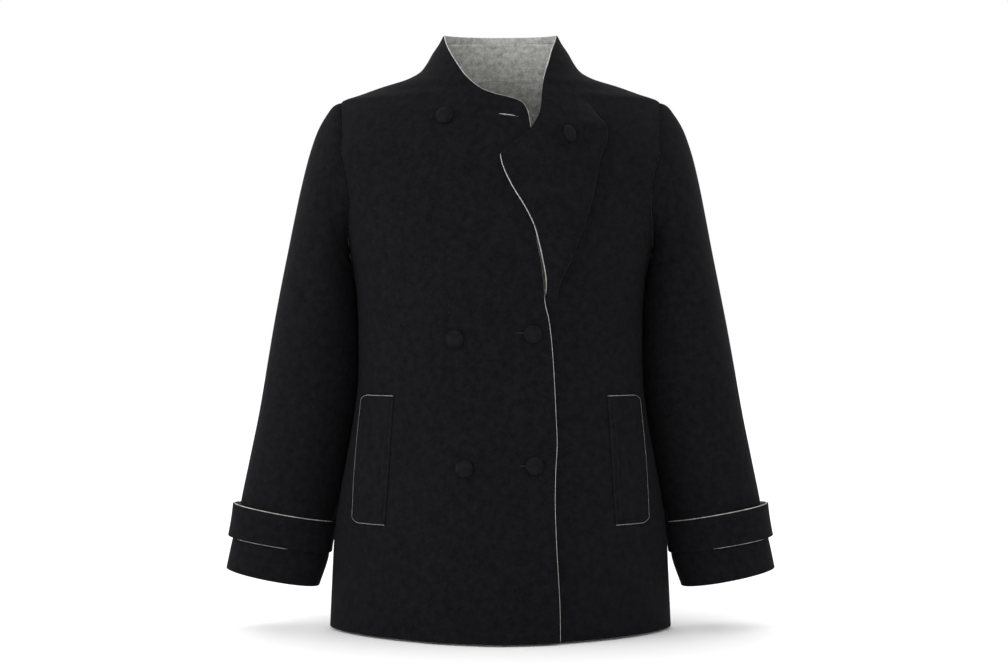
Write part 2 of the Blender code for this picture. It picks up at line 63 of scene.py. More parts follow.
Array = np.ndarray
Table = dict[str, Array]
Colour = tuple[float, float, float]
Sheet = Callable[[Array, Array], tuple[Array, Array]]


# ---------------------------------------------------------------- numbers and curves


def table(columns: str, *rows: Sequence[float]) -> Table:
    """Return rows of numbers as one array for each named column.

    Args:
        columns: The column names, parted by spaces.
        rows: The rows, each with a number for every column.

    Returns:
        One array for each name.
    """
    return dict(zip(columns.split(), np.array(rows, dtype=float).T))


def curve(key: Array, value: Array, at: Array) -> Array:
    """Return a smooth curve through points that never swings past them.

    The curve is a cubic between each pair of points, and its slope at a point is the weighted
    harmonic mean of the slopes on both sides, or level where they differ in sign.

    Args:
        key: The points' places, rising.
        value: The points' values.
        at: The places to read.

    Returns:
        The values at those places, straight past both ends.
    """
    at = np.asarray(at, dtype=float)
    step = np.diff(key)
    slope = np.diff(value) / step
    near, far = 2 * step[1:] + step[:-1], step[1:] + 2 * step[:-1]
    steady = slope[1:] * slope[:-1] > 0
    safe = np.where(steady, slope[1:], 1), np.where(steady, slope[:-1], 1)
    inner = np.where(steady, (near + far) / (near / safe[1] + far / safe[0]), 0)
    tangent = np.concatenate([slope[:1], inner, slope[-1:]])
    k = np.clip(np.searchsorted(key, at, side="right") - 1, 0, len(step) - 1)
    t = (at - key[k]) / step[k]
    s = np.clip(t, 0, 1)
    shape = (
        value[k] * (1 + 2 * s) * (1 - s) ** 2
        + tangent[k] * step[k] * s * (1 - s) ** 2
        + value[k + 1] * s * s * (3 - 2 * s)
        + tangent[k + 1] * step[k] * s * s * (s - 1)
    )
    return shape + np.where(t < 0, tangent[k], tangent[k + 1]) * step[k] * (t - s)


def read(data: Table, column: str, at: Array) -> Array:
    """Return a table's column at row numbers, smooth between the rows."""
    return curve(np.arange(len(data[column]), dtype=float), data[column], at)


def ease(value: Array, start: float, end: float) -> Array:
    """Return 0 before start and 1 after end, with a soft step between."""
    t = np.clip((value - start) / (end - start), 0, 1)
    return t * t * (3 - 2 * t)


def unit(vectors: Array) -> Array:
    """Return vectors made one long; one of no length stays as it is."""
    length = np.linalg.norm(vectors, axis=-1, keepdims=True)
    return vectors / np.where(length > 1e-12, length, 1)


def run_length(points: Array, axis: int) -> Array:
    """Return how far along its line each grid point lies, from 0 at the first.

    Args:
        points: The grid.
        axis: The axis of the grid that the lines run along.

    Returns:
        The distance of each point: the sum of the steps before it.
    """
    steps = np.linalg.norm(np.diff(points, axis=axis), axis=-1)
    start = np.zeros_like(np.take(steps, [0], axis=axis))
    return np.concatenate([start, np.cumsum(steps, axis=axis)], axis=axis)


def seam_dip(away: Array) -> Array:
    """Return how far cloth sinks at this distance from its seam: 0.5 mm, as a narrow bell."""
    return 0.5 * np.exp(-((away / 2.4) ** 2))


# ---------------------------------------------------------------- the body's form

# Each crease runs from one end (x0, z0) to the other (x1, z1).
CREASES = "x0 z0 x1 z1 width depth"
FRONT_CREASES = table(
    CREASES,
    (-186, -226, -112, -268, 9, 1.5),
    (-178, -252, -122, -304, 11, 1.1),
    (188, -230, 118, -276, 10, 1.4),
    (178, -262, 134, -318, 11, 1.2),
    (-158, -108, -146, -206, 13, 1.1),
    (160, -118, 147, -214, 13, 1.2),
    (-168, -332, -84, -322, 12, 0.8),
    (172, -346, 92, -330, 13, 0.9),
    (-118, -672, -98, -470, 21, -1.5),
    (-30, -672, -22, -520, 17, 0.9),
    (96, -672, 92, -500, 19, -1.2),
    (150, -672, 138, -545, 14, 0.9),
    (-166, -672, -160, -560, 12, 0.9),
    (-120, -20, -104, -92, 12, 0.8),
    (146, -24, 138, -96, 12, 0.8),
)
BACK_CREASES = table(
    CREASES,
    (-184, -228, -104, -262, 10, 1.6),
    (-172, -256, -116, -306, 12, 1.1),
    (186, -226, 108, -268, 10, 1.5),
    (170, -262, 122, -300, 11, 1.2),
    (-150, -112, -136, -212, 13, 1.2),
    (152, -106, 139, -204, 13, 1.1),
    (-70, -42, 60, -46, 13, 0.9),
    (-118, -330, -20, -346, 14, 1.0),
    (24, -344, 122, -328, 13, 0.9),
    (-110, -672, -88, -480, 21, -1.7),
    (-30, -672, -18, -430, 19, 1.1),
    (60, -672, 50, -500, 18, -1.3),
    (136, -672, 118, -540, 15, 1.0),
)


def crease_depth(creases: Table, x: Array, height: Array) -> Array:
    """Return how far creases sink a surface.

    Each is a trough with a bell-shaped section across the line between its two ends, and it
    fades along that line as the root of a sine.

    Args:
        creases: The ends, width and depth of each; a depth below 0 is a ridge.
        x: Where the surface is, across.
        height: Where the surface is, up.

    Returns:
        The depth at each point.
    """
    total = np.zeros(np.broadcast(x, height).shape)
    for x0, z0, x1, z1, width, depth in zip(*creases.values()):
        length = math.hypot(x1 - x0, z1 - z0)
        aim_x, aim_z = (x1 - x0) / length, (z1 - z0) / length
        along = np.clip(((x - x0) * aim_x + (height - z0) * aim_z) / length, 0, 1)
        bow = np.sin(math.pi * along).clip(0)
        aside = (x - x0) * aim_z - (height - z0) * aim_x + 0.05 * length * bow
        total += depth * np.sqrt(bow) * np.exp(-((aside / width) ** 2))
    return total


def settle(x: Array, height: Array, phase: float) -> Array:
    """Return the slow unevenness of hanging cloth: three slanting waves, 0.7 mm in all at most."""
    return (
        0.32 * np.sin(x / 33 + height / 71 + phase)
        + 0.22 * np.sin(x / 19 - height / 43 + 2.1 * phase)
        + 0.16 * np.sin(height / 27 + x / 51 - phase)
    )


@dataclass(frozen=True)
class BodyForm:
    """The filled-out body of the coat, as superellipse sections, with its armholes and creases.

    Attributes:
        sections: The half width, front and back depth and roundness at rising heights.
        underarm: The height of the armholes' lowest point.
        shoulder_point: The height of their highest point.
        neck: The height at which the back meets its collar.
        armhole_front: How far the armholes reach forward.
        armhole_back: How far they reach back.
        armhole_bluntness: The power that makes them blunt.
        crease_fade: How far beside a panel's seam its creases have faded.
    """

    sections: Table
    underarm: float = -215.0
    shoulder_point: float = -30.0
    neck: float = 5.0
    armhole_front: float = 64.0
    armhole_back: float = 58.0
    armhole_bluntness: float = 0.75
    crease_fade: float = 24.0

    def section(self, height: Array) -> list[Array]:
        """Return the half width, front and back depth and roundness at these heights."""
        columns = ("half_width", "front", "back", "roundness")
        return [curve(self.sections["height"], self.sections[name], height) for name in columns]

    def point(self, side: int, turn: Array, height: Array) -> Array:
        """Return points of the body without its creases.

        x is the half width times the cosine of the turn, raised to 2 over the roundness, and y
        is the depth times its sine, raised likewise.

        Args:
            side: 1 for the wearer's left, -1 for the right.
            turn: Radians round the section: a quarter turn is the front, 0 the side.
            height: Heights above the neck's base.

        Returns:
            The points, in a last axis of three.
        """
        half_width, front, back, roundness = self.section(height)
        power = 2 / roundness
        x = side * half_width * np.sign(np.cos(turn)) * np.abs(np.cos(turn)) ** power
        depth = np.where(turn > 0, front, back)
        y = -depth * np.sign(np.sin(turn)) * np.abs(np.sin(turn)) ** power
        return np.stack(np.broadcast_arrays(x, y, height), axis=-1)

    def frame(self, side: int, turn: Array, height: Array) -> tuple[Array, Array, Array, Array]:
        """Return creased points of the body, and its directions there.

        The directions come from small steps of point(). The creases and the slow unevenness of
        the cloth sink the points along the normal, and fade to nothing at the panel's seam.

        Args:
            side: 1 for the wearer's left, -1 for the right.
            turn: Radians round the section.
            height: Heights above the neck's base.

        Returns:
            The points, the unit direction round the body, the outward normals, and how many
            millimetres a radian is.
        """
        step = 0.001
        round_it = self.point(side, turn + step, height) - self.point(side, turn - step, height)
        up_it = self.point(side, turn, height + 0.5) - self.point(side, turn, height - 0.5)
        normal = unit(side * np.cross(up_it, round_it))
        pace = np.linalg.norm(round_it, axis=-1) / (2 * step)
        points = self.point(side, turn, height)
        x, z = points[..., 0], points[..., 2]
        sink = np.where(
            turn > 0,
            crease_depth(FRONT_CREASES, x, z) + settle(x, z, 0.4),
            crease_depth(BACK_CREASES, x, z) + settle(x, z, 1.9),
        )
        facing = np.where(turn > 0, 1, -1)
        short = np.minimum(np.abs(turn), math.pi - np.abs(turn))
        inside = np.abs(short - np.abs(self.seam_turn(height, facing))) * pace
        sink = sink * ease(inside, 0, self.crease_fade)
        return points - sink[..., None] * normal, unit(round_it), normal, pace

    def turn_at_x(self, side: int, x: Array, height: Array) -> Array:
        """Return the turn at which the front of the body has this x.

        It is point() solved for the turn: the arc cosine of the share of the half width, raised
        to half the roundness.

        Args:
            side: 1 for the wearer's left, -1 for the right.
            x: The places across.
            height: Their heights.

        Returns:
            The turn of each, in radians.
        """
        half_width, _, _, roundness = self.section(height)
        share = np.clip(side * x / half_width, -1, 1)
        return np.arccos(np.sign(share) * np.abs(share) ** (roundness / 2))

    def seam_turn(self, height: Array, facing: Array | int) -> Array:
        """Return the turn of a panel's outer end, at the side seam, armhole or shoulder.

        The armhole's half depth is the sine of the share of the way down it, raised to its
        bluntness, times a width that grows downwards: an egg, blunt below.

        Args:
            height: Heights above the neck's base.
            facing: 1 for the front, -1 for the back.

        Returns:
            The turn in radians, below 0 at the back.
        """
        in_front = np.asarray(facing) > 0
        drop = self.shoulder_point - self.underarm
        along = np.clip((self.shoulder_point - height) / drop, 0, 1)
        widest = np.where(in_front, self.armhole_front, self.armhole_back)
        growth = 0.9 + 0.25 * along
        depth = widest * np.sin(math.pi * along).clip(0) ** self.armhole_bluntness * growth
        _, front, back, roundness = self.section(height)
        share = np.clip(depth / np.where(in_front, front, back), 0, 1)
        return facing * np.arcsin(share ** (roundness / 2))


# The body's sections, from the hem to above the collar's top.
FORM = BodyForm(
    table(
        "height half_width front back roundness",
        (-668, 208.0, 146, 127, 1.62),
        (-610, 205.2, 145, 124, 1.74),
        (-560, 202.6, 142, 120, 1.84),
        (-510, 196.0, 138, 115, 1.93),
        (-460, 187.0, 133, 108, 2.03),
        (-410, 178.5, 128, 101, 2.06),
        (-370, 173.7, 125, 96, 2.10),
        (-340, 172.8, 124, 94, 2.12),
        (-300, 173.0, 126, 95, 2.14),
        (-250, 176.6, 130, 100, 2.18),
        (-215, 183.0, 131, 105, 2.24),
        (-190, 187.5, 130, 107, 2.30),
        (-160, 194.5, 128, 108, 2.30),
        (-130, 206.0, 123, 107, 2.28),
        (-100, 214.0, 116, 103, 2.20),
        (-60, 204.0, 107, 95, 1.90),
        (-30, 194.0, 99, 85, 1.55),
        (-21, 170.0, 96, 81, 1.50),
        (-12, 144.6, 94, 77, 1.55),
        (-3, 114.2, 91, 73, 1.70),
        (5, 98.6, 88, 70, 1.90),
        (14, 91.0, 84, 67, 2.00),
        (28, 83.0, 76, 64, 2.00),
        (40, 75.0, 70, 62, 2.00),
        (52, 69.0, 62, 60, 2.00),
        (62, 65.0, 57, 58, 2.00),
    )
)


# ---------------------------------------------------------------- shells of cloth

BLACK_STEPS = 5  # how many of the strips between a border's twelve steps are black


class Border(enum.Enum):
    """How a border is finished: its section as steps outwards and down, in millimetres.

    The first six steps are black and the last six light. SEWN rolls under at a seam. DARK does so
    with the light layer held back from it. TURNED is a full round fold as at a hem. LIGHT lets the
    grey layer stand out past the black one. ROLLED brings it up beside the black face, so that a
    fine line of it shows all round.
    """

    SEWN = (
        *((0, 0), (0.3, 0.06), (0.52, 0.22), (0.65, 0.5), (0.7, 0.85), (0.7, 1.2)),
        *((0.7, 1.3), (0.7, 1.75), (0.68, 2.05), (0.6, 2.27), (0.42, 2.37), (0, 2.4)),
    )
    DARK = (
        *((0, 0), (0.3, 0.06), (0.52, 0.3), (0.65, 0.8), (0.7, 1.5), (0.62, 2.15)),
        *((0.56, 2.22), (0.5, 2.28), (0.4, 2.33), (0.3, 2.37), (0.15, 2.39), (0, 2.4)),
    )
    TURNED = (
        *((0, 0), (0.6, 0.16), (1.04, 0.6), (1.2, 1.2), (1.04, 1.8), (0.6, 2.24)),
        *((0.5, 2.28), (0.4, 2.32), (0.3, 2.35), (0.2, 2.37), (0.1, 2.39), (0, 2.4)),
    )
    LIGHT = (
        *((0, 0), (0.34, 0.06), (0.58, 0.26), (0.68, 0.58), (0.7, 0.92), (0.6, 1.1)),
        *((0.85, 1.13), (1.9, 1.1), (2.26, 1.28), (2.4, 1.7), (2.2, 2.2), (1.7, 2.4)),
    )
    ROLLED = (
        *((0, 0), (0.2, 0.03), (0.4, 0.06), (0.56, 0.1), (0.68, 0.12), (0.76, 0.1)),
        *((0.8, 0.04), (0.94, 0.04), (1.1, 0.28), (1.2, 0.9), (1.1, 1.8), (0.8, 2.4)),
    )

    def sections(self, light: Array | float, count: int) -> Array:
        """Return the section at each of count points, part way to LIGHT where light says."""
        share = np.broadcast_to(np.asarray(light, dtype=float), (count,))[:, None, None]
        return (1 - share) * np.array(self.value) + share * np.array(Border.LIGHT.value)

    def reach(self, light: Array | float = 0.0) -> Array:
        """Return how far past the outer face's last row this border stands out."""
        own, lit = np.array(self.value)[:, 0].max(), np.array(Border.LIGHT.value)[:, 0].max()
        return own + (lit - own) * np.asarray(light, dtype=float)


@dataclass(frozen=True)
class Places:
    """Places along a line of cloth: close beside both borders and even between them.

    Attributes:
        middle: How many places lie between those beside the borders.
        near: How far from a border the places beside it lie.
    """

    middle: int
    near: tuple[float, ...] = (0.0, 0.5, 1.1, 1.9, 3.0, 4.6, 7.0)

    def along(self, length: Array, first: Array, last: Array) -> Array:
        """Return the places on each line, one row for each.

        Args:
            length: The length of each line.
            first: How far inside its start each begins.
            last: How far inside its end each stops.

        Returns:
            One row of rising places for each line.
        """
        near = np.array(self.near)
        shrink = np.clip(length / (2.5 * (first + last) + 1e-9), 0, 1)
        first, last = first * shrink, last * shrink
        room = (length - first - last)[:, None]
        tight = np.clip(0.3 * room / near[-1], 0, 1)
        share = np.arange(1, self.middle + 1) / (self.middle + 1)
        between = near[-1] * tight + share * (room - 2 * near[-1] * tight)
        whole = np.concatenate([near * tight, between, room - near[::-1] * tight], axis=1)
        return first[:, None] + whole


def across(
    sheet: Sheet,
    span: tuple[float, float],
    v: Array,
    places: Places,
    first: Array | float,
    last: Array | float,
) -> Array:
    """Return the u at which each course of a sheet has its places.

    Args:
        sheet: The sheet's function.
        span: The u where the stretch starts and ends.
        v: The courses.
        places: How the places are spread.
        first: How far inside the start each course begins.
        last: How far inside the end each course stops.

    Returns:
        u for each course and place.
    """
    fine = np.linspace(*span, TRIAL_PLACES)
    grid_u, grid_v = np.meshgrid(fine, v)
    gone = run_length(sheet(grid_u, grid_v)[0], axis=1)
    wanted = places.along(gone[:, -1], first + 0 * v, last + 0 * v)
    return np.array([np.interp(want, have, fine) for want, have in zip(wanted, gone)])


def courses(sheet: Sheet, u: float, end: float, places: Places, first: float, last: float) -> Array:
    """Return the v of a sheet's courses, spread by length up one line of it.

    Args:
        sheet: The sheet's function.
        u: The line's u.
        end: The v at which the line ends; it starts at 0.
        places: How the courses are spread.
        first: How far inside the start the first course lies.
        last: How far inside the end the last one does.

    Returns:
        The v of each course.
    """
    fine = np.linspace(0, end, TRIAL_COURSES)
    gone = run_length(sheet(np.full_like(fine, u), fine)[0], axis=0)
    wanted = places.along(gone[-1:], np.array([first]), np.array([last]))[0]
    return np.interp(wanted, gone, fine)


def grid_faces(number: Array, closed: bool) -> Array:
    """Return the quads of a grid of point numbers.

    Args:
        number: The point numbers, in rows and columns.
        closed: Whether the columns run round a ring.

    Returns:
        Four point numbers for each quad.
    """
    after = np.roll(number, -1, axis=1) if closed else number[:, 1:]
    here = number if closed else number[:, :-1]
    return np.stack([here[:-1], after[:-1], after[1:], here[1:]], axis=-1).reshape(-1, 4)


def signed_volume(points: Array, faces: Array) -> float:
    """Return the volume that a closed mesh of quads holds, below 0 if it is inside out."""
    a, b, c, d = (points[faces[:, k]] for k in range(4))
    return float(((a * np.cross(b, c)).sum() + (a * np.cross(c, d)).sum()) / 6)


def add_mesh(
    name: str,
    points: Array,
    faces: Array,
    finishes: Sequence[bpy.types.Material],
    slots: Array | None = None,
    sharp: float = 50.0,
) -> bpy.types.Object:
    """Add a closed mesh of quads to the scene, facing outwards.

    Args:
        name: The piece's name.
        points: Its points, in millimetres.
        faces: Four point numbers for each face.
        finishes: Its materials.
        slots: The material number of each face, if there is more than one.
        sharp: The angle in degrees past which an edge isn't smoothed.

    Returns:
        The object, at the origin.
    """
    if signed_volume(points, faces) < 0:
        faces = faces[:, ::-1]
    mesh = bpy.data.meshes.new(name)
    mesh.from_pydata((points * MM).tolist(), [], faces.tolist())
    if slots is not None:
        mesh.polygons.foreach_set("material_index", slots.astype(np.int32))
    for finish in finishes:
        mesh.materials.append(finish)
    mesh.shade_smooth()
    mesh.set_sharp_from_angle(angle=math.radians(sharp))
    mesh.update()
    made = bpy.data.objects.new(name, mesh)
    bpy.context.scene.collection.objects.link(made)
    return made


@dataclass
class ClothShell:
    """A closed shell of double-faced cloth between its outer face and one a thickness inside it.

    Attributes:
        outer: The outer face's points, a grid of rows and columns.
        normals: Unit normals of the outer face.
        finish: The finish of the first row, last column, last row and first column; a ring,
            whose columns run round it, has only those of the first and last row.
        light: The share of the LIGHT finish at each point of those borders.
        closed: Whether the columns run round a ring.
        thickness: The cloth's thickness, one number or one for each point.
    """

    outer: Array
    normals: Array
    finish: tuple[Border, ...]
    light: tuple[Array | float, ...]
    closed: bool = False
    thickness: Array | float = CLOTH

    def _loops(self) -> list[tuple[Array, Array, Array, Array]]:
        """Return the loops of the border: one round a panel, or two on a ring.

        Where two sides of a panel meet, the direction and the section are the mean of both.

        Returns:
            For each loop the rows, columns, outward directions and sections of its points.
        """
        rows, columns = self.outer.shape[:2]
        up = unit(np.gradient(self.outer, axis=0))
        first = (np.zeros(columns, int), np.arange(columns), -up[0])
        last = (np.full(columns, rows - 1), np.arange(columns), up[-1])
        if self.closed:
            start, stop = (self.finish[k].sections(self.light[k], columns) for k in range(2))
            return [(*first, start), (*last, stop)]
        over = unit(np.gradient(self.outer, axis=1))
        right = (np.arange(rows), np.full(rows, columns - 1), over[:, -1])
        left = (np.arange(rows)[::-1], np.zeros(rows, int), -over[::-1, 0])
        sides = (first, right, tuple(part[::-1] for part in last), left)
        lights = [np.broadcast_to(light, (len(side[0]),)) for light, side in zip(self.light, sides)]
        lights[2:] = [light[::-1] for light in lights[2:]]
        shapes = [finish.sections(light, len(light)) for finish, light in zip(self.finish, lights)]
        outs = [side[2].copy() for side in sides]
        for k in range(4):
            outs[k][0] = unit(sides[k][2][0] + sides[k - 1][2][-1])
            shapes[k][0] = (shapes[k][0] + shapes[k - 1][-1]) / 2
        pieces = [(side[0], side[1], out, shape) for side, out, shape in zip(sides, outs, shapes)]
        return [tuple(np.concatenate([piece[k][:-1] for piece in pieces]) for k in range(4))]

    def build(self, name: str, finishes: Sequence[bpy.types.Material]) -> bpy.types.Object:
        """Return the shell as an object.

        Args:
            name: The piece's name.
            finishes: The materials of the outer and inner face.

        Returns:
            The object, in the scene.
        """
        rows, columns = self.outer.shape[:2]
        thick = np.broadcast_to(np.asarray(self.thickness, dtype=float), (rows, columns))
        inner = self.outer - thick[..., None] * self.normals
        number = np.arange(rows * columns).reshape(rows, columns)
        rims, faces, slots = [], [], []
        total = 2 * rows * columns
        for row, column, out, section in self._loops():
            at, normal = self.outer[row, column], self.normals[row, column]
            ahead = unit(np.roll(at, -1, axis=0) - np.roll(at, 1, axis=0))
            out = out - (out * ahead).sum(-1, keepdims=True) * ahead
            out = unit(out - (out * normal).sum(-1, keepdims=True) * normal)
            depth = section[..., 1] * (thick[row, column] / CLOTH)[:, None]
            rim = at[:, None] + section[..., :1] * out[:, None] - depth[..., None] * normal[:, None]
            inner[row, column] = rim[:, -1]
            count, steps = section.shape[:2]
            middle = total + np.arange(count * (steps - 2)).reshape(count, steps - 2)
            total += middle.size
            rims.append(rim[:, 1:-1].reshape(-1, 3))
            ends = number[row, column][:, None]
            strip = np.concatenate([ends, middle, rows * columns + ends], axis=1)
            quads = grid_faces(np.concatenate([strip, strip[:1]]), False)
            faces.append(quads[:, ::-1] if self.closed and row[0] > 0 else quads)
            slots.append((np.tile(np.arange(steps - 1), count) >= BLACK_STEPS).astype(int))
        plain = grid_faces(number, self.closed)
        faces += [plain, plain[:, ::-1] + rows * columns]
        slots += [np.zeros(len(plain), int), np.ones(len(plain), int)]
        points = np.concatenate([self.outer.reshape(-1, 3), inner.reshape(-1, 3), *rims])
        return add_mesh(name, points, np.concatenate(faces), finishes, np.concatenate(slots))


def dress(piece: bpy.types.Object, slot: str, *nodes: str) -> bpy.types.Object:
    """Tie a piece to the coat's one body, and hide the nodes that it stands for.

    Args:
        piece: The piece.
        slot: The slot of its material; not used.
        nodes: The nodes that it stands for, if any.

    Returns:
        The piece.
    """
    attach(piece, BODY_NAME)
    if nodes:
        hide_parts(*nodes)
    LOG.info("%s: %d faces", piece.name, len(piece.data.polygons))
    return piece


def dress_cloth(
    shell: ClothShell, node: str, finishes: Finishes
) -> bpy.types.Object:
    """Build a cut piece and tie it to the coat's body.

    Args:
        shell: The piece's shell.
        node: The node that it stands for.
        finishes: The coat's materials.

    Returns:
        The piece.
    """
    made = dress(shell.build("cloth_" + node, finishes.cloth), "wool", node)
    return made


# ---------------------------------------------------------------- finishes


def add_node(
    tree: bpy.types.NodeTree, kind: str, feeds: dict[str | int, object] | None = None, **settings: object
) -> bpy.types.Node:
    """Add a node to a tree, set its properties, and feed its inputs with values or sockets.

    Args:
        tree: The tree.
        kind: The node's type.
        feeds: An input's name or number, and the value or the socket that it takes.
        settings: The node's own properties.

    Returns:
        The node.
    """
    node = tree.nodes.new(kind)
    for name, value in settings.items():
        setattr(node, name, value)
    for name, value in (feeds or {}).items():
        if isinstance(value, bpy.types.NodeSocket):
            tree.links.new(value, node.inputs[name])
        else:
            node.inputs[name].default_value = value
    return node


def mix_colours(
    tree: bpy.types.NodeTree,
    share: bpy.types.NodeSocket,
    first: Sequence[float] | bpy.types.NodeSocket,
    second: Sequence[float] | bpy.types.NodeSocket,
) -> bpy.types.NodeSocket:
    """Return a socket with the colour between two, by the share of the second.

    Args:
        tree: The tree.
        share: The socket of the share.
        first: The first colour or its socket.
        second: The second colour or its socket.

    Returns:
        The mixed colour's socket.
    """
    factor, colour_a, colour_b, result = 0, 6, 7, 2
    feeds = {factor: share, colour_a: first, colour_b: second}
    return add_node(tree, "ShaderNodeMix", feeds, data_type="RGBA").outputs[result]


def felt_group() -> bpy.types.NodeTree:
    """Return the group that gives felted wool its mottled colour and its nap's height.

    Noises on the piece's own coordinates are mixed: clouds several millimetres wide, tufts about a
    millimetre or two wide, and stretched hairs finer than that. A sparse one picks out lint.

    Returns:
        The group, which puts out Color, Height and Roughness.
    """
    tree = bpy.data.node_groups.new("felted nap", "ShaderNodeTree")
    for name, kind, value in (
        ("Ground", "NodeSocketColor", (0.01, 0.01, 0.01, 1)),
        ("Raised", "NodeSocketColor", (0.02, 0.02, 0.02, 1)),
        ("Cloud Size", "NodeSocketFloat", 90.0),
        ("Tuft Size", "NodeSocketFloat", 620.0),
        ("Lint", "NodeSocketFloat", 0.5),
    ):
        tree.interface.new_socket(name=name, in_out="INPUT", socket_type=kind).default_value = value
    taken = tree.nodes.new("NodeGroupInput").outputs
    where = add_node(tree, "ShaderNodeTexCoord").outputs["Object"]
    clouds = add_node(
        tree,
        "ShaderNodeTexNoise",
        {"Vector": where, "Scale": taken["Cloud Size"], "Detail": 3.0, "Roughness": 0.6},
    ).outputs[0]
    tufts = add_node(
        tree,
        "ShaderNodeTexNoise",
        {"Vector": where, "Scale": taken["Tuft Size"], "Detail": 4.0, "Roughness": 0.7, "Distortion": 0.6},
    ).outputs[0]
    bent = add_node(
        tree,
        "ShaderNodeMapping",
        {"Vector": where, "Rotation": (0.4, 0.7, 0.3), "Scale": (1.0, 1.0, 0.28)},
    ).outputs[0]
    hairs = add_node(
        tree, "ShaderNodeTexNoise", {"Vector": bent, "Scale": 2400.0, "Detail": 2.0, "Distortion": 1.2}
    ).outputs[0]
    specks = add_node(
        tree, "ShaderNodeTexNoise", {"Vector": where, "Scale": 480.0, "Detail": 1.0}
    ).outputs[0]
    sparse = add_node(
        tree, "ShaderNodeMapRange", {"Value": specks, "From Min": 0.735, "From Max": 0.78}
    ).outputs[0]
    lint = add_node(tree, "ShaderNodeMath", {0: sparse, 1: taken["Lint"]}, operation="MULTIPLY").outputs[0]
    both = add_node(tree, "ShaderNodeMath", {0: clouds, 1: tufts}, operation="ADD").outputs[0]
    raised = add_node(
        tree, "ShaderNodeMapRange", {"Value": both, "From Min": 0.72, "From Max": 1.28}
    ).outputs[0]
    plain = mix_colours(tree, raised, taken["Ground"], taken["Raised"])
    linty = mix_colours(tree, lint, plain, (0.3, 0.3, 0.29, 1))
    nap = add_node(
        tree, "ShaderNodeMath", {0: hairs, 1: 0.35, 2: tufts}, operation="MULTIPLY_ADD"
    ).outputs[0]
    rough = add_node(
        tree, "ShaderNodeMapRange", {"Value": tufts, "To Min": 0.86, "To Max": 1.0}
    ).outputs[0]
    outs = tree.nodes.new("NodeGroupOutput")
    for name, kind, source in (
        ("Color", "NodeSocketColor", linty),
        ("Height", "NodeSocketFloat", nap),
        ("Roughness", "NodeSocketFloat", rough),
    ):
        tree.interface.new_socket(name=name, in_out="OUTPUT", socket_type=kind)
        tree.links.new(source, outs.inputs[name])
    return tree


@dataclass(frozen=True)
class Felt:
    """A felted wool finish.

    Attributes:
        name: The material's name.
        ground: The colour between the tufts.
        raised: The colour of the tufts.
        cloud: How many clouds there are to a metre.
        tuft: How many tufts there are to a metre.
        lint: The share of lint that shows.
        nap: The nap's height in millimetres.
        sheen: The weight of the fuzz's sheen.
        sheen_tint: The colour of the sheen.
        specular: How strongly the fibres shine.
    """

    name: str
    ground: Colour
    raised: Colour
    cloud: float = 120.0
    tuft: float = 560.0
    lint: float = 0.02
    nap: float = 0.35
    sheen: float = 0.015
    sheen_tint: Colour = (0.5, 0.5, 0.55)
    specular: float = 0.05

    def material(self, felt: bpy.types.NodeTree) -> bpy.types.Material:
        """Return the finish as a material that uses the felt group.

        Args:
            felt: The felt group.

        Returns:
            The material.
        """
        made = bpy.data.materials.new(self.name)
        made.use_nodes = True
        made.diffuse_color = (*self.ground, 1)
        tree = made.node_tree
        shader = tree.nodes["Principled BSDF"]
        nap = add_node(tree, "ShaderNodeGroup", node_tree=felt)
        for name, value in (
            ("Ground", (*self.ground, 1)),
            ("Raised", (*self.raised, 1)),
            ("Cloud Size", self.cloud),
            ("Tuft Size", self.tuft),
            ("Lint", self.lint),
        ):
            nap.inputs[name].default_value = value
        bump = add_node(
            tree,
            "ShaderNodeBump",
            {"Height": nap.outputs["Height"], "Distance": self.nap * MM, "Strength": 0.9},
        )
        tree.links.new(nap.outputs["Color"], shader.inputs["Base Color"])
        tree.links.new(nap.outputs["Roughness"], shader.inputs["Roughness"])
        tree.links.new(bump.outputs[0], shader.inputs["Normal"])
        shader.inputs["Specular IOR Level"].default_value = self.specular
        shader.inputs["Sheen Weight"].default_value = self.sheen
        shader.inputs["Sheen Roughness"].default_value = 0.55
        shader.inputs["Sheen Tint"].default_value = (*self.sheen_tint, 1)
        return made


@dataclass(frozen=True)
class Thread:
    """A spun thread's finish: its colour banded with painted shade where the grooves of its twist lie.

    Attributes:
        name: The material's name.
        colour: The colour of the strands; between them painted shade darkens it.
        twist: How many bands of that painted shade there are to a metre.
    """

    name: str
    colour: Colour
    twist: float = 1900.0

    def material(self) -> bpy.types.Material:
        """Return the finish as a material."""
        made = bpy.data.materials.new(self.name)
        made.use_nodes = True
        made.diffuse_color = (*self.colour, 1)
        tree = made.node_tree
        shader = tree.nodes["Principled BSDF"]
        where = add_node(tree, "ShaderNodeTexCoord").outputs["Object"]
        turned = add_node(tree, "ShaderNodeMapping", {"Vector": where, "Rotation": (0.5, 0.4, 0.6)})
        groove_shade_bands = add_node(
            tree, "ShaderNodeTexWave", {"Vector": turned.outputs[0], "Scale": self.twist, "Distortion": 1.0}
        ).outputs["Fac"]
        # Painted shade: the colour darkened where the grooves between the twisted strands would lie in
        # shade.
        groove_shade = tuple(0.6 * part for part in self.colour)
        mixed = mix_colours(tree, groove_shade_bands, (*groove_shade, 1), (*self.colour, 1))
        tree.links.new(mixed, shader.inputs["Base Color"])
        shader.inputs["Roughness"].default_value = 0.7
        shader.inputs["Specular IOR Level"].default_value = 0.25
        return made


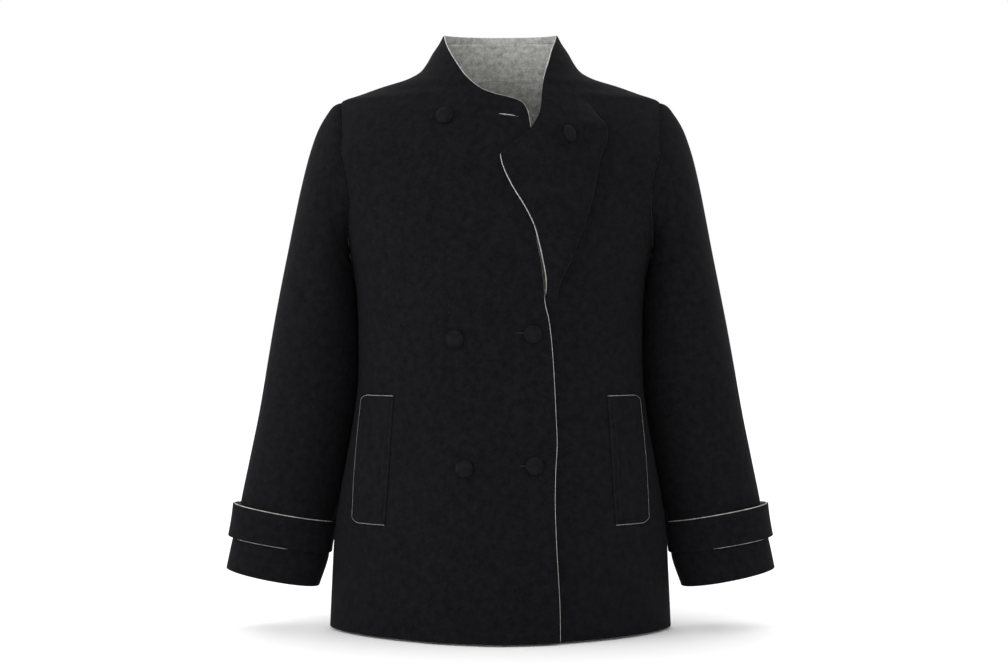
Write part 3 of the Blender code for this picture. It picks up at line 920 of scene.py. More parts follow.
@dataclass
class Finishes:
    """The coat's materials."""

    outer: bpy.types.Material
    inner: bpy.types.Material
    button: bpy.types.Material
    black_thread: bpy.types.Material
    grey_thread: bpy.types.Material

    @classmethod
    def make(cls) -> Finishes:
        """Make every finish of the coat."""
        felt = felt_group()
        outer = Felt("black felted wool", (0.0030, 0.0030, 0.0035), (0.0078, 0.0078, 0.0091))
        inner = Felt(
            "grey felted wool",
            (0.26, 0.262, 0.246),
            (0.62, 0.623, 0.588),
            cloud=140.0,
            tuft=480.0,
            lint=0.0,
            sheen=0.05,
            sheen_tint=(0.9, 0.9, 0.88),
            specular=0.1,
        )
        # The coat's black felt, made lighter on the buttons: painted light, as if their domes caught more
        # of the lamps.
        button = Felt(
            "black button cloth with painted light",
            (0.0042, 0.0042, 0.0049),
            (0.0104, 0.0104, 0.0120),
            tuft=760.0,
            nap=0.22,
        )
        return cls(
            outer=outer.material(felt),
            inner=inner.material(felt),
            button=button.material(felt),
            black_thread=Thread("black sewing thread", (0.0085, 0.0085, 0.0095)).material(),
            grey_thread=Thread("grey sewing thread", (0.42, 0.42, 0.40)).material(),
        )

    @property
    def cloth(self) -> tuple[bpy.types.Material, bpy.types.Material]:
        """The outer and inner face of the coat's cloth."""
        return self.outer, self.inner


# ---------------------------------------------------------------- the cut pieces


@dataclass
class RightFront:
    """The wearer's right front, with its half of the collar grown on; it closes over the left.

    Attributes:
        rows: The courses: each one's height at the seams and at the free edge, and that edge's x.
        layer_lift: How far the front rises over the left one.
        layer_x: The x between which it rises.
        layer_drop: How far below the neck this starts, and where it is full.
        edge_rise: How much more it rises at its free edge.
        edge_share: The u between which it does.
        edge_drop: How far below the neck that starts, and where it is full.
        edge_light: The share of the light border down the free edge.
        collar_light: That share along the collar.
        collar_start: The heights between which the one becomes the other.
        shade: How much the border is dimmed beside the fallen corner.
        shade_end: The heights between which that ends; it starts at the break.
    """

    rows: Table
    layer_lift: float = 3.3
    layer_x: tuple[float, float] = (-112.0, -68.0)
    layer_drop: tuple[float, float] = (205.0, 278.0)
    edge_rise: float = 1.8
    edge_share: tuple[float, float] = (0.84, 1.0)
    edge_drop: tuple[float, float] = (262.0, 310.0)
    edge_light: float = 0.52
    collar_light: float = 0.5
    collar_start: tuple[float, float] = (-90.0, -30.0)
    shade: float = 0.6
    shade_end: tuple[float, float] = (-200.0, -180.0)

    def sheet(self, u: Array, v: Array) -> tuple[Array, Array]:
        """Return outer points and normals.

        A course runs on the body's form from the seam turn to the edge's turn, its height going
        evenly from one end's to the other's. It rises over the left front by a soft step, and by
        a little more at its free edge.

        Args:
            u: 0 at the seams to 1 at the free edge.
            v: The row of the table, smooth between the rows.

        Returns:
            The points and their unit normals.
        """
        outer = read(self.rows, "outer_height", v)
        edge = read(self.rows, "edge_height", v)
        outer_turn = FORM.seam_turn(outer, 1)
        edge_turn = FORM.turn_at_x(-1, read(self.rows, "edge_x", v), edge)
        height = outer + (edge - outer) * u
        turn = outer_turn + (edge_turn - outer_turn) * u
        points, _, normals, _ = FORM.frame(-1, turn, height)
        lift = self.layer_lift * ease(points[..., 0], *self.layer_x) * ease(-height, *self.layer_drop)
        lift = lift + self.edge_rise * ease(u, *self.edge_share) * ease(-height, *self.edge_drop)
        return points + lift[..., None] * normals, normals

    def build(self, finishes: Finishes) -> tuple[Array, Array]:
        """Build the front.

        Args:
            finishes: The coat's materials.

        Returns:
            Its outer face's points and normals, which the buttons sit on.
        """
        end = len(self.rows["edge_x"]) - 1
        v = courses(self.sheet, 0.6, end, Places(190), Border.TURNED.reach(), Border.LIGHT.reach())
        height = read(self.rows, "edge_height", v)
        light = self.edge_light + (self.collar_light - self.edge_light) * ease(height, *self.collar_start)
        light = light * (1 - self.shade * ease(height, *BREAK) * (1 - ease(height, *self.shade_end)))
        inset = Border.SEWN.reach() - SEAM_OVERLAP
        u = across(self.sheet, (0, 1), v, Places(92), inset, Border.SEWN.reach(light))
        points, normals = self.sheet(u, np.broadcast_to(v[:, None], u.shape))
        points = points - seam_dip(run_length(points, 1))[..., None] * normals
        shell = ClothShell(
            points,
            normals,
            finish=(Border.TURNED, Border.SEWN, Border.SEWN, Border.SEWN),
            light=(0.0, light, self.collar_light, 0.0),
        )
        dress_cloth(shell, "front_right", finishes)
        return points, normals


@dataclass
class LeftFront:
    """The wearer's left front: its hidden edge, the pleat, and the fallen collar corner.

    Attributes:
        rows: The courses: each one's height, its free edge's x, where its cloth doubles back
            (x), by how much (degrees) and how deep, and how high the free edge stands.
        tight: The radius of the bend hidden under the fallen corner, where it is half a turn.
        wide: The radius of the fold that shows, likewise.
        least_reach: The least depth of the pleat.
        edge_light: The share of the light border down the fallen corner's edge.
        edge_end: The heights between which that ends.
        collar_light: The share along the collar.
        collar_start: The heights between which that starts.
        top_light: The share along the collar's top.
    """

    rows: Table
    tight: float = 0.55
    wide: float = 3.9
    least_reach: float = 0.8
    edge_light: float = 0.68
    edge_end: tuple[float, float] = (-108.0, -99.0)
    collar_light: float = 0.78
    collar_start: tuple[float, float] = (-34.0, 8.0)
    top_light: float = 0.5

    def pleat(self, along: Array, angle: Array, reach: Array) -> tuple[Array, Array, Array]:
        """Return how far the doubled-back cloth has gone inwards and up, and its direction.

        The cloth turns up by the angle on a tight bend, runs straight for reach, and turns back
        on a wider one.

        Args:
            along: 0 to 1 on the first bend, 1 to 2 on the straight, 2 to 3 on the other bend.
            angle: How far the cloth turns, in radians.
            reach: The length of the straight.

        Returns:
            The way gone inwards, the way gone up, and the direction in radians.
        """
        angle = np.maximum(angle, 1e-4)
        tight, wide = self.tight * math.pi / angle, self.wide * math.pi / angle
        first = angle * np.clip(along, 0, 1)
        run = reach * np.clip(along - 1, 0, 1)
        last = angle * (1 - np.clip(along - 2, 0, 1))
        inwards = tight * np.sin(first) + run * np.cos(angle) + wide * (np.sin(angle) - np.sin(last))
        up = tight * (1 - np.cos(first)) + run * np.sin(angle) + wide * (np.cos(last) - np.cos(angle))
        return inwards, up, np.where(along < 1, first, last)

    def sheet(self, u: Array, v: Array) -> tuple[Array, Array]:
        """Return outer points and normals.

        A course runs on the body's form to the pleat, through it by pleat(), and on along the
        form as high above it as the pleat has brought it. Where the cloth turns by less than a
        radian, the pleat's width is fitted to the course.

        Args:
            u: 0 at the seams to 1 at the pleat, 4 behind it, and 5 at the free edge.
            v: The row of the table, smooth between the rows.

        Returns:
            The points and their unit normals.
        """
        height = read(self.rows, "height", v)
        outer_turn = FORM.seam_turn(height, 1)
        edge_turn = FORM.turn_at_x(1, read(self.rows, "edge_x", v), height)
        fold = FORM.turn_at_x(1, read(self.rows, "fold_x", v), height)
        angle = np.radians(np.clip(read(self.rows, "fold_turn", v), 0, 180))
        reach = np.maximum(read(self.rows, "reach", v), self.least_reach)
        scale = FORM.frame(1, fold, height)[3]
        whole, rise, _ = self.pleat(3.0 + 0 * v, angle, reach)
        overhang = (reach / 2 + self.wide) * (1 - np.cos(angle)) / 2
        start = np.maximum(fold + (overhang - whole / 2) / scale, outer_turn)
        end = np.minimum(start + whole / scale, edge_turn)
        inwards, up, direction = self.pleat(np.clip(u - 1, 0, 3), angle, reach)
        before = outer_turn + (start - outer_turn) * u
        after = end + (edge_turn - end) * (u - 4)
        fit = (end - start) * scale / np.where(whole > 0, whole, 1)
        within = start + inwards * np.where(angle < 1, fit, 1) / scale
        turn = np.where(u < 1, before, np.where(u > 4, after, within))
        direction = np.where((u < 1) | (u > 4), 0, direction)
        edge_lift = read(self.rows, "edge_lift", v)
        top_lift = rise + (edge_lift - rise) * ease(u, 4, 5)
        lift = np.where(u < 1, 0, np.where(u > 4, top_lift, up))
        points, round_it, normals, _ = FORM.frame(1, turn, height)
        points = points + lift[..., None] * normals
        return points, np.cos(direction)[..., None] * normals - np.sin(direction)[..., None] * round_it

    def light(self, height: Array) -> Array:
        """Return the light at the free edge: none below the break or on the corner's upper edge."""
        flap = self.edge_light * ease(height, *BREAK) * (1 - ease(height, *self.edge_end))
        return flap + self.collar_light * ease(height, *self.collar_start)

    def build(self, finishes: Finishes) -> tuple[Array, Array]:
        """Build the front.

        Args:
            finishes: The coat's materials.

        Returns:
            The fallen corner's outer points and normals, which its button sits on.
        """
        end = len(self.rows["height"]) - 1
        v = courses(self.sheet, 0.5, end, Places(215), Border.TURNED.reach(), Border.LIGHT.reach())
        light = self.light(read(self.rows, "height", v))
        inset = Border.SEWN.reach() - SEAM_OVERLAP
        main_part = across(self.sheet, (0, 1), v, Places(44), inset, 0.0)
        bends = (np.linspace(1, 2, 7)[1:], np.linspace(2, 3, 9)[1:], np.linspace(3, 4, 15)[1:-1])
        fold = np.concatenate(bends)
        flap = across(self.sheet, (4, 5), v, Places(24), 0.0, Border.TURNED.reach(light))
        u = np.concatenate([main_part, np.broadcast_to(fold, (len(v), len(fold))), flap], axis=1)
        points, normals = self.sheet(u, np.broadcast_to(v[:, None], u.shape))
        points = points - seam_dip(run_length(points, 1))[..., None] * normals
        shell = ClothShell(
            points,
            normals,
            finish=(Border.TURNED, Border.TURNED, Border.SEWN, Border.SEWN),
            light=(0.0, light, self.top_light, 0.0),
        )
        dress_cloth(shell, "front_left", finishes)
        start = main_part.shape[1] + len(fold)
        return points[:, start:], normals[:, start:]


@dataclass
class Back:
    """The back, from side seam to side seam, up to the shoulder seams and the neck."""

    hem: float = -668.0

    def sheet(self, u: Array, v: Array) -> tuple[Array, Array]:
        """Return outer points and normals: courses on the body's form, level all the way.

        Args:
            u: 0 at the right side seam to 1 at the left.
            v: The height.

        Returns:
            The points and their unit normals.
        """
        outer_turn = FORM.seam_turn(v, -1)
        turn = outer_turn + (-math.pi - 2 * outer_turn) * u
        points, _, normals, _ = FORM.frame(-1, turn, v)
        return points, normals

    def build(self, finishes: Finishes) -> None:
        """Build the back.

        Args:
            finishes: The coat's materials.
        """
        inset = Border.SEWN.reach() - SEAM_OVERLAP
        span, fold = np.array([FORM.neck - self.hem]), np.array([Border.TURNED.reach()])
        v = self.hem + Places(170).along(span, fold, np.array([inset]))[0]
        u = across(self.sheet, (0, 1), v, Places(124), inset, inset)
        points, normals = self.sheet(u, np.broadcast_to(v[:, None], u.shape))
        gone, risen = run_length(points, 1), run_length(points, 0)
        near = np.minimum(np.minimum(gone, gone[:, -1:] - gone), risen[-1:] - risen)
        points = points - seam_dip(near)[..., None] * normals
        finish = (Border.TURNED, Border.SEWN, Border.SEWN, Border.SEWN)
        shell = ClothShell(points, normals, finish=finish, light=(0.0,) * 4)
        dress_cloth(shell, "back", finishes)


@dataclass
class BackCollar:
    """The back of the stand collar, between the shoulder seams, with a stitched line inside it.

    Attributes:
        side: The height of its top at the shoulder seams.
        rise: How much higher it is at the middle.
        light: The share of the light border along its top.
        line: How far below the top the stitched line runs, at the seams and at the middle.
        groove: How deep the stitches pull the inner face in.
    """

    side: float = 52.6
    rise: float = 5.5
    light: float = 0.5
    line: tuple[float, float] = (10.5, 6.0)
    groove: float = 0.9

    def sheet(self, u: Array, v: Array) -> tuple[Array, Array]:
        """Return outer points and normals; the top edge rises by the sine of the turn.

        Args:
            u: 0 at the right shoulder seam to 1 at the left, half a turn round the form.
            v: 0 at the neck seam to 1 at the top.

        Returns:
            The points and their unit normals.
        """
        turn = -math.pi * u
        top = self.side + self.rise * np.abs(np.sin(turn))
        points, _, normals, _ = FORM.frame(-1, turn, FORM.neck + (top - FORM.neck) * v)
        return points, normals

    def build(self, finishes: Finishes) -> None:
        """Build the back collar and the row of stitches on its inner face.

        Args:
            finishes: The coat's materials.
        """
        inset = Border.SEWN.reach() - SEAM_OVERLAP
        v = courses(self.sheet, 0.5, 1, Places(44), inset, float(Border.SEWN.reach(self.light)))
        u = across(self.sheet, (0, 1), v, Places(110), inset, inset)
        points, normals = self.sheet(u, np.broadcast_to(v[:, None], u.shape))
        gone, risen = run_length(points, 1), run_length(points, 0)
        near = np.minimum(np.minimum(gone, gone[:, -1:] - gone), risen)
        points = points - seam_dip(near)[..., None] * normals
        below = risen[-1:] - risen
        line = self.line[0] + (self.line[1] - self.line[0]) * np.sin(math.pi * u)
        thickness = CLOTH - self.groove * np.exp(-(((below - line) / 0.9) ** 2))
        shell = ClothShell(
            points,
            normals,
            finish=(Border.SEWN,) * 4,
            light=(0.0, 0.0, self.light, 0.0),
            thickness=thickness,
        )
        dress_cloth(shell, "collar_back", finishes)
        row = np.argmin(np.abs(below - line), axis=0)
        column = np.arange(points.shape[1])
        seam = (points - (thickness - 0.1)[..., None] * normals)[row, column]
        stitches = StitchRow(pitch=3.2, length=2.5, radius=0.24)
        inwards = -normals[row, column]
        dress(stitches.build("collar_stitches", seam, inwards, finishes.grey_thread), "wool")


@dataclass
class Sleeve:
    """A set-in sleeve, as rings from the armhole to the cuff, and the strap round its cuff.

    Attributes:
        side: 1 for the wearer's left, -1 for the right.
        word: The same as a word, for the names.
        rings: The rings: the x and height of the outer and the under point, the half depth, and
            the middle's place in depth. x is given as for the wearer's right.
        creases: The creases, across and down the sleeve.
        cap_rings: Down to which ring the sleeve is drawn to the armhole.
        tuck: How far the under point goes in towards the body.
        lean: How far it goes back.
        lies_from: The rings between which the sleeve comes to lie against the body.
        lies_to: The rings between which it leaves it.
        body_gap: How far it stays off the body.
        strap_room: How much more it does where the strap runs between them.
        room_from: The rings between which that room starts.
        room_to: The rings between which it ends.
        around: The radius that turns t into millimetres for the creases.
        ring_pitch: The millimetres from ring to ring for them.
        seam_depth: How deep the seam down the under side lies.
        seam_width: The half width of its bell.
        overlap: How far the armhole's border reaches past the seam.
        strap_top: The ring at which the strap starts.
        strap_bottom: The ring at which it ends.
        strap_stand_off: How far its top and bottom edge stand off the sleeve's outer side.
        slope: How many rings its top and bottom edge drop towards the under side.
        strap_light: The share of the light border along its top and bottom edge.
    """

    side: int
    word: str
    rings: Table
    creases: Table
    cap_rings: float = 5.0
    tuck: float = 7.0
    lean: float = 20.0
    lies_from: tuple[float, float] = (1.2, 3.8)
    lies_to: tuple[float, float] = (13.9, 15.6)
    body_gap: float = 0.5
    strap_room: float = 3.4
    room_from: tuple[float, float] = (13.9, 14.3)
    room_to: tuple[float, float] = (15.8, 16.4)
    around: float = 62.0
    ring_pitch: float = 40.0
    seam_depth: float = 0.45
    seam_width: float = 1.8
    overlap: float = 0.3
    strap_top: float = 14.38
    strap_bottom: float = 15.71
    strap_stand_off: tuple[float, float] = (6.2, 3.5)
    slope: tuple[float, float] = (0.25, 0.12)
    strap_light: tuple[float, float] = (0.66, 0.56)

    def ring(self, t: Array, v: Array) -> Array:
        """Return points of the rings.

        A point goes from the under point to the outer one by half of 1 plus the cosine of t,
        and its depth is the middle's less the half depth times the sine of t. The under side is
        tucked in and leans back where the sleeve lies against the body, by the fifth power of
        half of 1 less the cosine.

        Args:
            t: 0 on the outer side, a quarter turn in front, half a turn on the under side.
            v: The ring, smooth between the rings.

        Returns:
            The points.
        """
        near = ease(v, *self.lies_from) * (1 - ease(v, *self.lies_to)) * ((1 - np.cos(t)) / 2) ** 5
        outer = np.stack([read(self.rings, name, v) for name in ("outer_x", "outer_height")], axis=-1)
        under = np.stack([read(self.rings, name, v) for name in ("under_x", "under_height")], axis=-1)
        flat = under + (outer - under) * ((1 + np.cos(t)) / 2)[..., None]
        y = read(self.rings, "middle", v) - read(self.rings, "half_depth", v) * np.sin(t)
        return np.stack(
            [-self.side * (flat[..., 0] + self.tuck * near), y + self.lean * near, flat[..., 1]], axis=-1
        )

    def armhole(self, t: Array) -> Array:
        """Return the points of the armhole that the sleeve's first ring is sewn to.

        Their height goes from the shoulder point to the underarm by the cosine of t.

        Args:
            t: The turn round the ring.

        Returns:
            The points.
        """
        middle = (FORM.shoulder_point + FORM.underarm) / 2
        height = middle + (FORM.shoulder_point - middle) * np.cos(t)
        facing = np.where(np.mod(t, 2 * math.pi) < math.pi, 1, -1)
        return FORM.point(self.side, FORM.seam_turn(height, facing), height)

    def form(self, t: Array, v: Array) -> Array:
        """Return the sleeve's form, its rings drawn to the armhole over the cap.

        Where it would reach the body it is laid flat on it: x is the soft greater of its own and
        the body's plus a gap, which has room for the strap where that runs between them. The
        greater of two numbers is half of their sum and the root of their difference squared, and
        a small number inside that root makes it soft.

        Args:
            t: The turn round the ring.
            v: The ring.

        Returns:
            The points.
        """
        miss = self.armhole(t) - self.ring(t, 0 * v)
        fade = np.clip(1 - v / self.cap_rings, 0, 1) ** 2
        points = self.ring(t, v) + fade[..., None] * miss
        half_width, front, back, roundness = FORM.section(points[..., 2])
        share = np.clip(np.abs(points[..., 1]) / np.where(points[..., 1] < 0, front, back), 0, 0.98)
        room = self.strap_room * ease(v, *self.room_from) * (1 - ease(v, *self.room_to))
        gap = self.body_gap * ease(v, 0, 2) + room
        body = half_width * (1 - share**roundness) ** (1 / roundness) + gap
        own = np.abs(points[..., 0])
        softness = 0.2 + 1.8 * ease(v, 0, 3)
        laid = (own + body + np.hypot(own - body, softness)) / 2
        points[..., 0] = self.side * laid
        return points

    def sheet(self, t: Array, v: Array) -> tuple[Array, Array]:
        """Return outer points with their creases, and normals from the form's two directions.

        The creases sink the form, and so does the sleeve's own seam, a narrow bell that runs
        down the under side.

        Args:
            t: The turn round the ring.
            v: The ring.

        Returns:
            The points and their unit normals.
        """
        step = 0.01
        over = self.form(t + step, v) - self.form(t - step, v)
        down = self.form(t, v + step) - self.form(t, v - step)
        normals = self.side * unit(np.cross(over, down))
        points = self.form(t, v)
        across_it = (np.mod(t, 2 * math.pi) - math.pi) * self.around
        down_it = self.ring_pitch * v
        sink = crease_depth(self.creases, across_it, down_it)
        sink = (sink + settle(across_it, down_it + 90 * self.side, 0.8)) * ease(v, 0.2, 2.4)
        seam = self.seam_depth * np.exp(-((across_it / self.seam_width) ** 2))
        sink = sink + seam * ease(v, 0.1, 0.8)
        return points - sink[..., None] * normals, normals

    def build(self, finishes: Finishes) -> None:
        """Build the sleeve and its strap.

        Args:
            finishes: The coat's materials.
        """
        end = len(self.rings["middle"]) - 1
        inset = Border.SEWN.reach() - self.overlap
        v = courses(self.sheet, math.pi / 2, end, Places(168), inset, float(Border.TURNED.reach()))
        columns = 132
        t, rows = np.meshgrid(np.arange(columns) * 2 * math.pi / columns, v)
        points, normals = self.sheet(t, rows)
        points = points - seam_dip(run_length(points, 0))[..., None] * normals
        finish = (Border.DARK, Border.TURNED)
        shell = ClothShell(points, normals, finish=finish, light=(0.0, 0.0), closed=True)
        dress_cloth(shell, "sleeve_" + self.word, finishes)
        self._build_strap(finishes)

    def _build_strap(self, finishes: Finishes) -> None:
        """Build the strap, which stands off the sleeve most on the outer side.

        Its courses run from the top edge to the bottom one, closer beside both, drop towards the
        under side, and stand off by a power of half of 1 plus the cosine of the turn. The light
        line shows all round the top edge, and on the outer side of the bottom one.

        Args:
            finishes: The coat's materials.
        """
        columns, places = 150, 37
        turns = np.arange(columns) * 2 * math.pi / columns
        share = np.linspace(0, 1, places)
        share = share - 0.06 * np.sin(2 * math.pi * share)
        down = share[:, None]
        t, rows = np.meshgrid(turns, self.strap_top + (self.strap_bottom - self.strap_top) * share)
        drop = self.slope[0] + (self.slope[1] - self.slope[0]) * down
        points, normals = self.sheet(t, rows + ((1 - np.cos(t)) / 2) ** 2 * drop)
        off = self.strap_stand_off[0] + (self.strap_stand_off[1] - self.strap_stand_off[0]) * down
        away = LAID_GAP + CLOTH + off * ((1 + np.cos(t)) / 2) ** 3
        high = ease(np.cos(turns), -1.0, -0.86)
        low = ease(np.cos(turns), -0.45, -0.1) * (1 - 0.6 * ease(np.cos(turns), 0.7, 0.95))
        shell = ClothShell(
            points + away[..., None] * normals,
            normals,
            finish=(Border.TURNED, Border.TURNED),
            light=(self.strap_light[0] * high, self.strap_light[1] * low),
            closed=True,
        )
        node = "cuff_strap_" + self.word
        dress_cloth(shell, node, finishes)


@dataclass
class PocketWelt:
    """A pocket's welt: sewn down along its inner line, free at its outer edge and rounded there.

    Attributes:
        side: 1 for the wearer's left, -1 for the right.
        word: The same as a word, for the names.
        lines: The x of the inner and the outer line at rising shares of the way down.
        top: The height of its top end.
        bottom: The height of its lower end.
        corner: The radius of the corners at the outer line.
        width: About how wide it is, by which its places are spread.
        pressed: How thick the cloth is where it is pressed and sewn down.
        sewn_gap: How far it stays off the front there.
        stitch_shares: Where across it the two rows of stitches run.
    """

    side: int
    word: str
    lines: Table
    top: float = -385.0
    bottom: float = -536.0
    corner: float = 10.0
    width: float = 44.0
    pressed: float = 1.0
    sewn_gap: float = 0.12
    stitch_shares: tuple[float, float] = (0.045, 0.16)

    def sheet(self, share: Array, down: Array) -> tuple[Array, Array]:
        """Return outer points and normals; each end is cut back by a quarter round at the corner.

        Args:
            share: 0 at the inner line to 1 at the outer one.
            down: 0 at the top end to 1 at the lower one.

        Returns:
            The points and their unit normals.
        """
        inner_x = curve(self.lines["along"], self.lines["inner_x"], down)
        outer_x = curve(self.lines["along"], self.lines["outer_x"], down)
        x = inner_x + (outer_x - inner_x) * share
        into = np.clip((x - outer_x) / self.corner + 1, 0, 1)
        cut = self.corner * (1 - np.sqrt(1 - 0.98 * into**2))
        height = self.top - cut + (self.bottom - self.top + 2 * cut) * down
        turn = FORM.turn_at_x(self.side, self.side * x, height)
        points, _, normals, _ = FORM.frame(self.side, turn, height)
        gap = (LAID_GAP - self.sewn_gap) * ease(x - inner_x, 2, 12)
        away = self.thickness(x - inner_x) + self.sewn_gap + gap
        return points + away[..., None] * normals, normals

    def thickness(self, beside: Array) -> Array:
        """Return how thick the welt is at this distance beside its sewn line."""
        return self.pressed + (CLOTH - self.pressed) * ease(beside, -1, 9)

    def build(self, finishes: Finishes) -> None:
        """Build the welt and the two rows of stitches beside its sewn line.

        Args:
            finishes: The coat's materials.
        """
        length, width = np.array([self.top - self.bottom]), np.array([self.width])
        ends = np.array([float(Border.ROLLED.reach())])
        down = Places(52).along(length, ends, ends)[0] / length
        share = Places(20).along(width, np.array([float(Border.TURNED.reach())]), ends)[0] / width
        u, v = np.meshgrid(share, down)
        points, normals = self.sheet(u, v)
        shell = ClothShell(
            points,
            normals,
            finish=(Border.ROLLED, Border.ROLLED, Border.ROLLED, Border.TURNED),
            light=(0.0,) * 4,
            thickness=self.thickness(u * self.width),
        )
        dress_cloth(shell, "pocket_welt_" + self.word, finishes)
        line = np.linspace(0.02, 0.98, 120)
        stitches = StitchRow(pitch=3.0, length=2.2, radius=0.22)
        for number, beside in enumerate(self.stitch_shares, start=1):
            seam, out = self.sheet(np.full_like(line, beside), line)
            name = f"welt_stitches_{self.word}_{number}"
            dress(stitches.build(name, seam, out, finishes.black_thread), "wool")


# ---------------------------------------------------------------- sewing and buttons


def ring_cap(ring: Array) -> Array:
    """Return the quads that close an even ring of point numbers, as a strip from side to side."""
    k = np.arange(len(ring) // 2 - 1)
    return np.stack([ring[k], ring[k + 1], ring[len(ring) - 2 - k], ring[len(ring) - 1 - k]], axis=-1)


def rope_faces(rows: int, columns: int) -> Array:
    """Return the quads of a closed rope of rings, with a strip of them over each end."""
    number = np.arange(rows * columns).reshape(rows, columns)
    return np.concatenate([grid_faces(number, True), ring_cap(number[0]), ring_cap(number[-1])[:, ::-1]])


def resample(points: Array, normals: Array, places: Array) -> tuple[Array, Array]:
    """Return points and normals at some distances along a line.

    Args:
        points: Points along the line.
        normals: The cloth's normals there.
        places: The distances.

    Returns:
        The points and the unit normals at those distances.
    """
    gone = run_length(points, 0)
    at = np.stack([np.interp(places, gone, points[:, k]) for k in range(3)], axis=-1)
    out = np.stack([np.interp(places, gone, normals[:, k]) for k in range(3)], axis=-1)
    return at, unit(out)


@dataclass(frozen=True)
class StitchRow:
    """A row of stitches, each a short round-ended bar of thread that sinks at both ends.

    Attributes:
        pitch: The distance from stitch to stitch.
        length: The length of one.
        radius: The thread's radius.
        sides: How many sides the thread's section has.
    """

    pitch: float
    length: float
    radius: float
    sides: int = 6

    def build(self, name: str, line: Array, normals: Array, finish: bpy.types.Material) -> bpy.types.Object:
        """Build the row along a line on the cloth.

        Args:
            name: The piece's name.
            line: Points along the line.
            normals: The cloth's normals there.
            finish: The thread's material.

        Returns:
            The stitches as one object.
        """
        count = int(run_length(line, 0)[-1] / self.pitch)
        middle = (np.arange(count) + 0.5) * self.pitch
        at, out = resample(line, normals, middle)
        ahead = unit(resample(line, normals, middle + 0.5)[0] - resample(line, normals, middle - 0.5)[0])
        aside = np.cross(ahead, out)
        along = np.array([-0.5, -0.46, -0.32, 0.0, 0.32, 0.46, 0.5])
        girth = np.array([0.35, 0.75, 1.0, 1.0, 1.0, 0.75, 0.35])
        angle = np.arange(self.sides) * 2 * math.pi / self.sides
        high = self.radius * ((0.5 - 5.2 * along**2)[:, None] + girth[:, None] * np.sin(angle))
        wide = self.radius * girth[:, None] * np.cos(angle)
        points = (
            at[:, None, None]
            + (self.length * along)[:, None, None] * ahead[:, None, None]
            + high[..., None] * out[:, None, None]
            + wide[..., None] * aside[:, None, None]
        )
        one = rope_faces(len(along), self.sides)
        faces = (one[None] + (np.arange(count) * high.size)[:, None, None]).reshape(-1, 4)
        return add_mesh(name, points.reshape(-1, 3), faces, [finish])


@dataclass(frozen=True)
class Seat:
    """A place on a piece: the point at an x and a height on the plane of its nearest face."""

    point: Array
    normal: Array

    @classmethod
    def on(cls, points: Array, normals: Array, x: float, height: float) -> Seat:
        """Return the seat on a grid of points.

        Args:
            points: The grid of the piece's outer face.
            normals: Its normals.
            x: Where the seat is across.
            height: Where it is up.

        Returns:
            The seat.
        """
        nearest = np.argmin((points[..., 0] - x) ** 2 + (points[..., 2] - height) ** 2)
        at, out = points.reshape(-1, 3)[nearest], normals.reshape(-1, 3)[nearest]
        y = at[1] - (out[0] * (x - at[0]) + out[2] * (height - at[2])) / out[1]
        return cls(np.array([x, y, height]), out)


# A covered button's section, as shares of its radius and of its rise, from the middle of the
# underside round the rim and the pressed line above it to the crown.
BUTTON_PROFILE = np.array(
    [
        *((0.02, 0.02), (0.45, 0.02), (0.80, 0.00), (0.91, 0.05), (0.97, 0.14), (1.00, 0.26)),
        *((0.995, 0.37), (0.965, 0.46), (0.925, 0.51), (0.885, 0.525), (0.86, 0.535), (0.835, 0.57)),
        *((0.79, 0.635), (0.71, 0.72), (0.61, 0.80), (0.50, 0.87), (0.38, 0.925), (0.26, 0.965)),
        *((0.14, 0.99), (0.02, 1.0)),
    ]
)


@dataclass(frozen=True)
class Button:
    """A domed button covered with the coat's cloth, which is drawn round its rim.

    Attributes:
        name: The node that it stands for.
        x: Where it is sewn on, across.
        height: Where it is sewn on, up.
        aside: How many degrees it faces aside, where its thread lets it tip.
        spin: Where round the rim its gathers start.
        radius: Its radius.
        rise: Its height from the underside to the crown.
        stand_off: How far its underside stays off the cloth.
        gathers: How many gathers there are round the rim.
        gather_depth: Their depth, as a share of the radius.
        columns: How many points there are round it.
    """

    name: str
    x: float
    height: float
    aside: float
    spin: float
    radius: float = 10.2
    rise: float = 7.4
    stand_off: float = 1.0
    gathers: int = 11
    gather_depth: float = 0.012
    columns: int = 72

    def build(self, seat: Seat, finishes: Finishes) -> None:
        """Build the button on its seat.

        Its section is carried round its axis. The gathers are shallow waves that fade above the
        rim, and a slow wave of 0.12 mm makes the crown a little uneven. A button that tips stands
        on its rim, so its middle is farther out.

        Args:
            seat: Where it sits.
            finishes: The coat's materials.
        """
        angle = np.arange(self.columns) * 2 * math.pi / self.columns
        outwards, upwards = BUTTON_PROFILE[:, :1], BUTTON_PROFILE[:, 1:]
        gather = self.gather_depth * np.sin(self.gathers * angle + self.spin)
        gather = gather * np.exp(-(((upwards - 0.15) / 0.2) ** 2))
        out = self.radius * (outwards + gather * ease(outwards, 0.3, 0.8))
        up = self.rise * upwards + 0.12 * np.sin(2 * angle + self.spin) * upwards * outwards
        tilt = math.radians(self.aside)
        cos, sin, normal = math.cos(tilt), math.sin(tilt), seat.normal
        turned = (cos * normal[0] - sin * normal[1], sin * normal[0] + cos * normal[1])
        axis = np.array([*turned, normal[2]])
        right = unit(np.cross(axis, (0.0, 0.0, 1.0)))
        high = np.cross(right, axis)
        centre = seat.point + (self.stand_off + 0.8 * self.radius * sin) * normal
        points = (
            centre
            + (out * np.cos(angle))[..., None] * right
            + (out * np.sin(angle))[..., None] * high
            + up[..., None] * axis
        )
        faces = rope_faces(len(BUTTON_PROFILE), self.columns)
        made = add_mesh("covered_" + self.name, points.reshape(-1, 3), faces, [finishes.button])
        dress(made, "button", self.name)


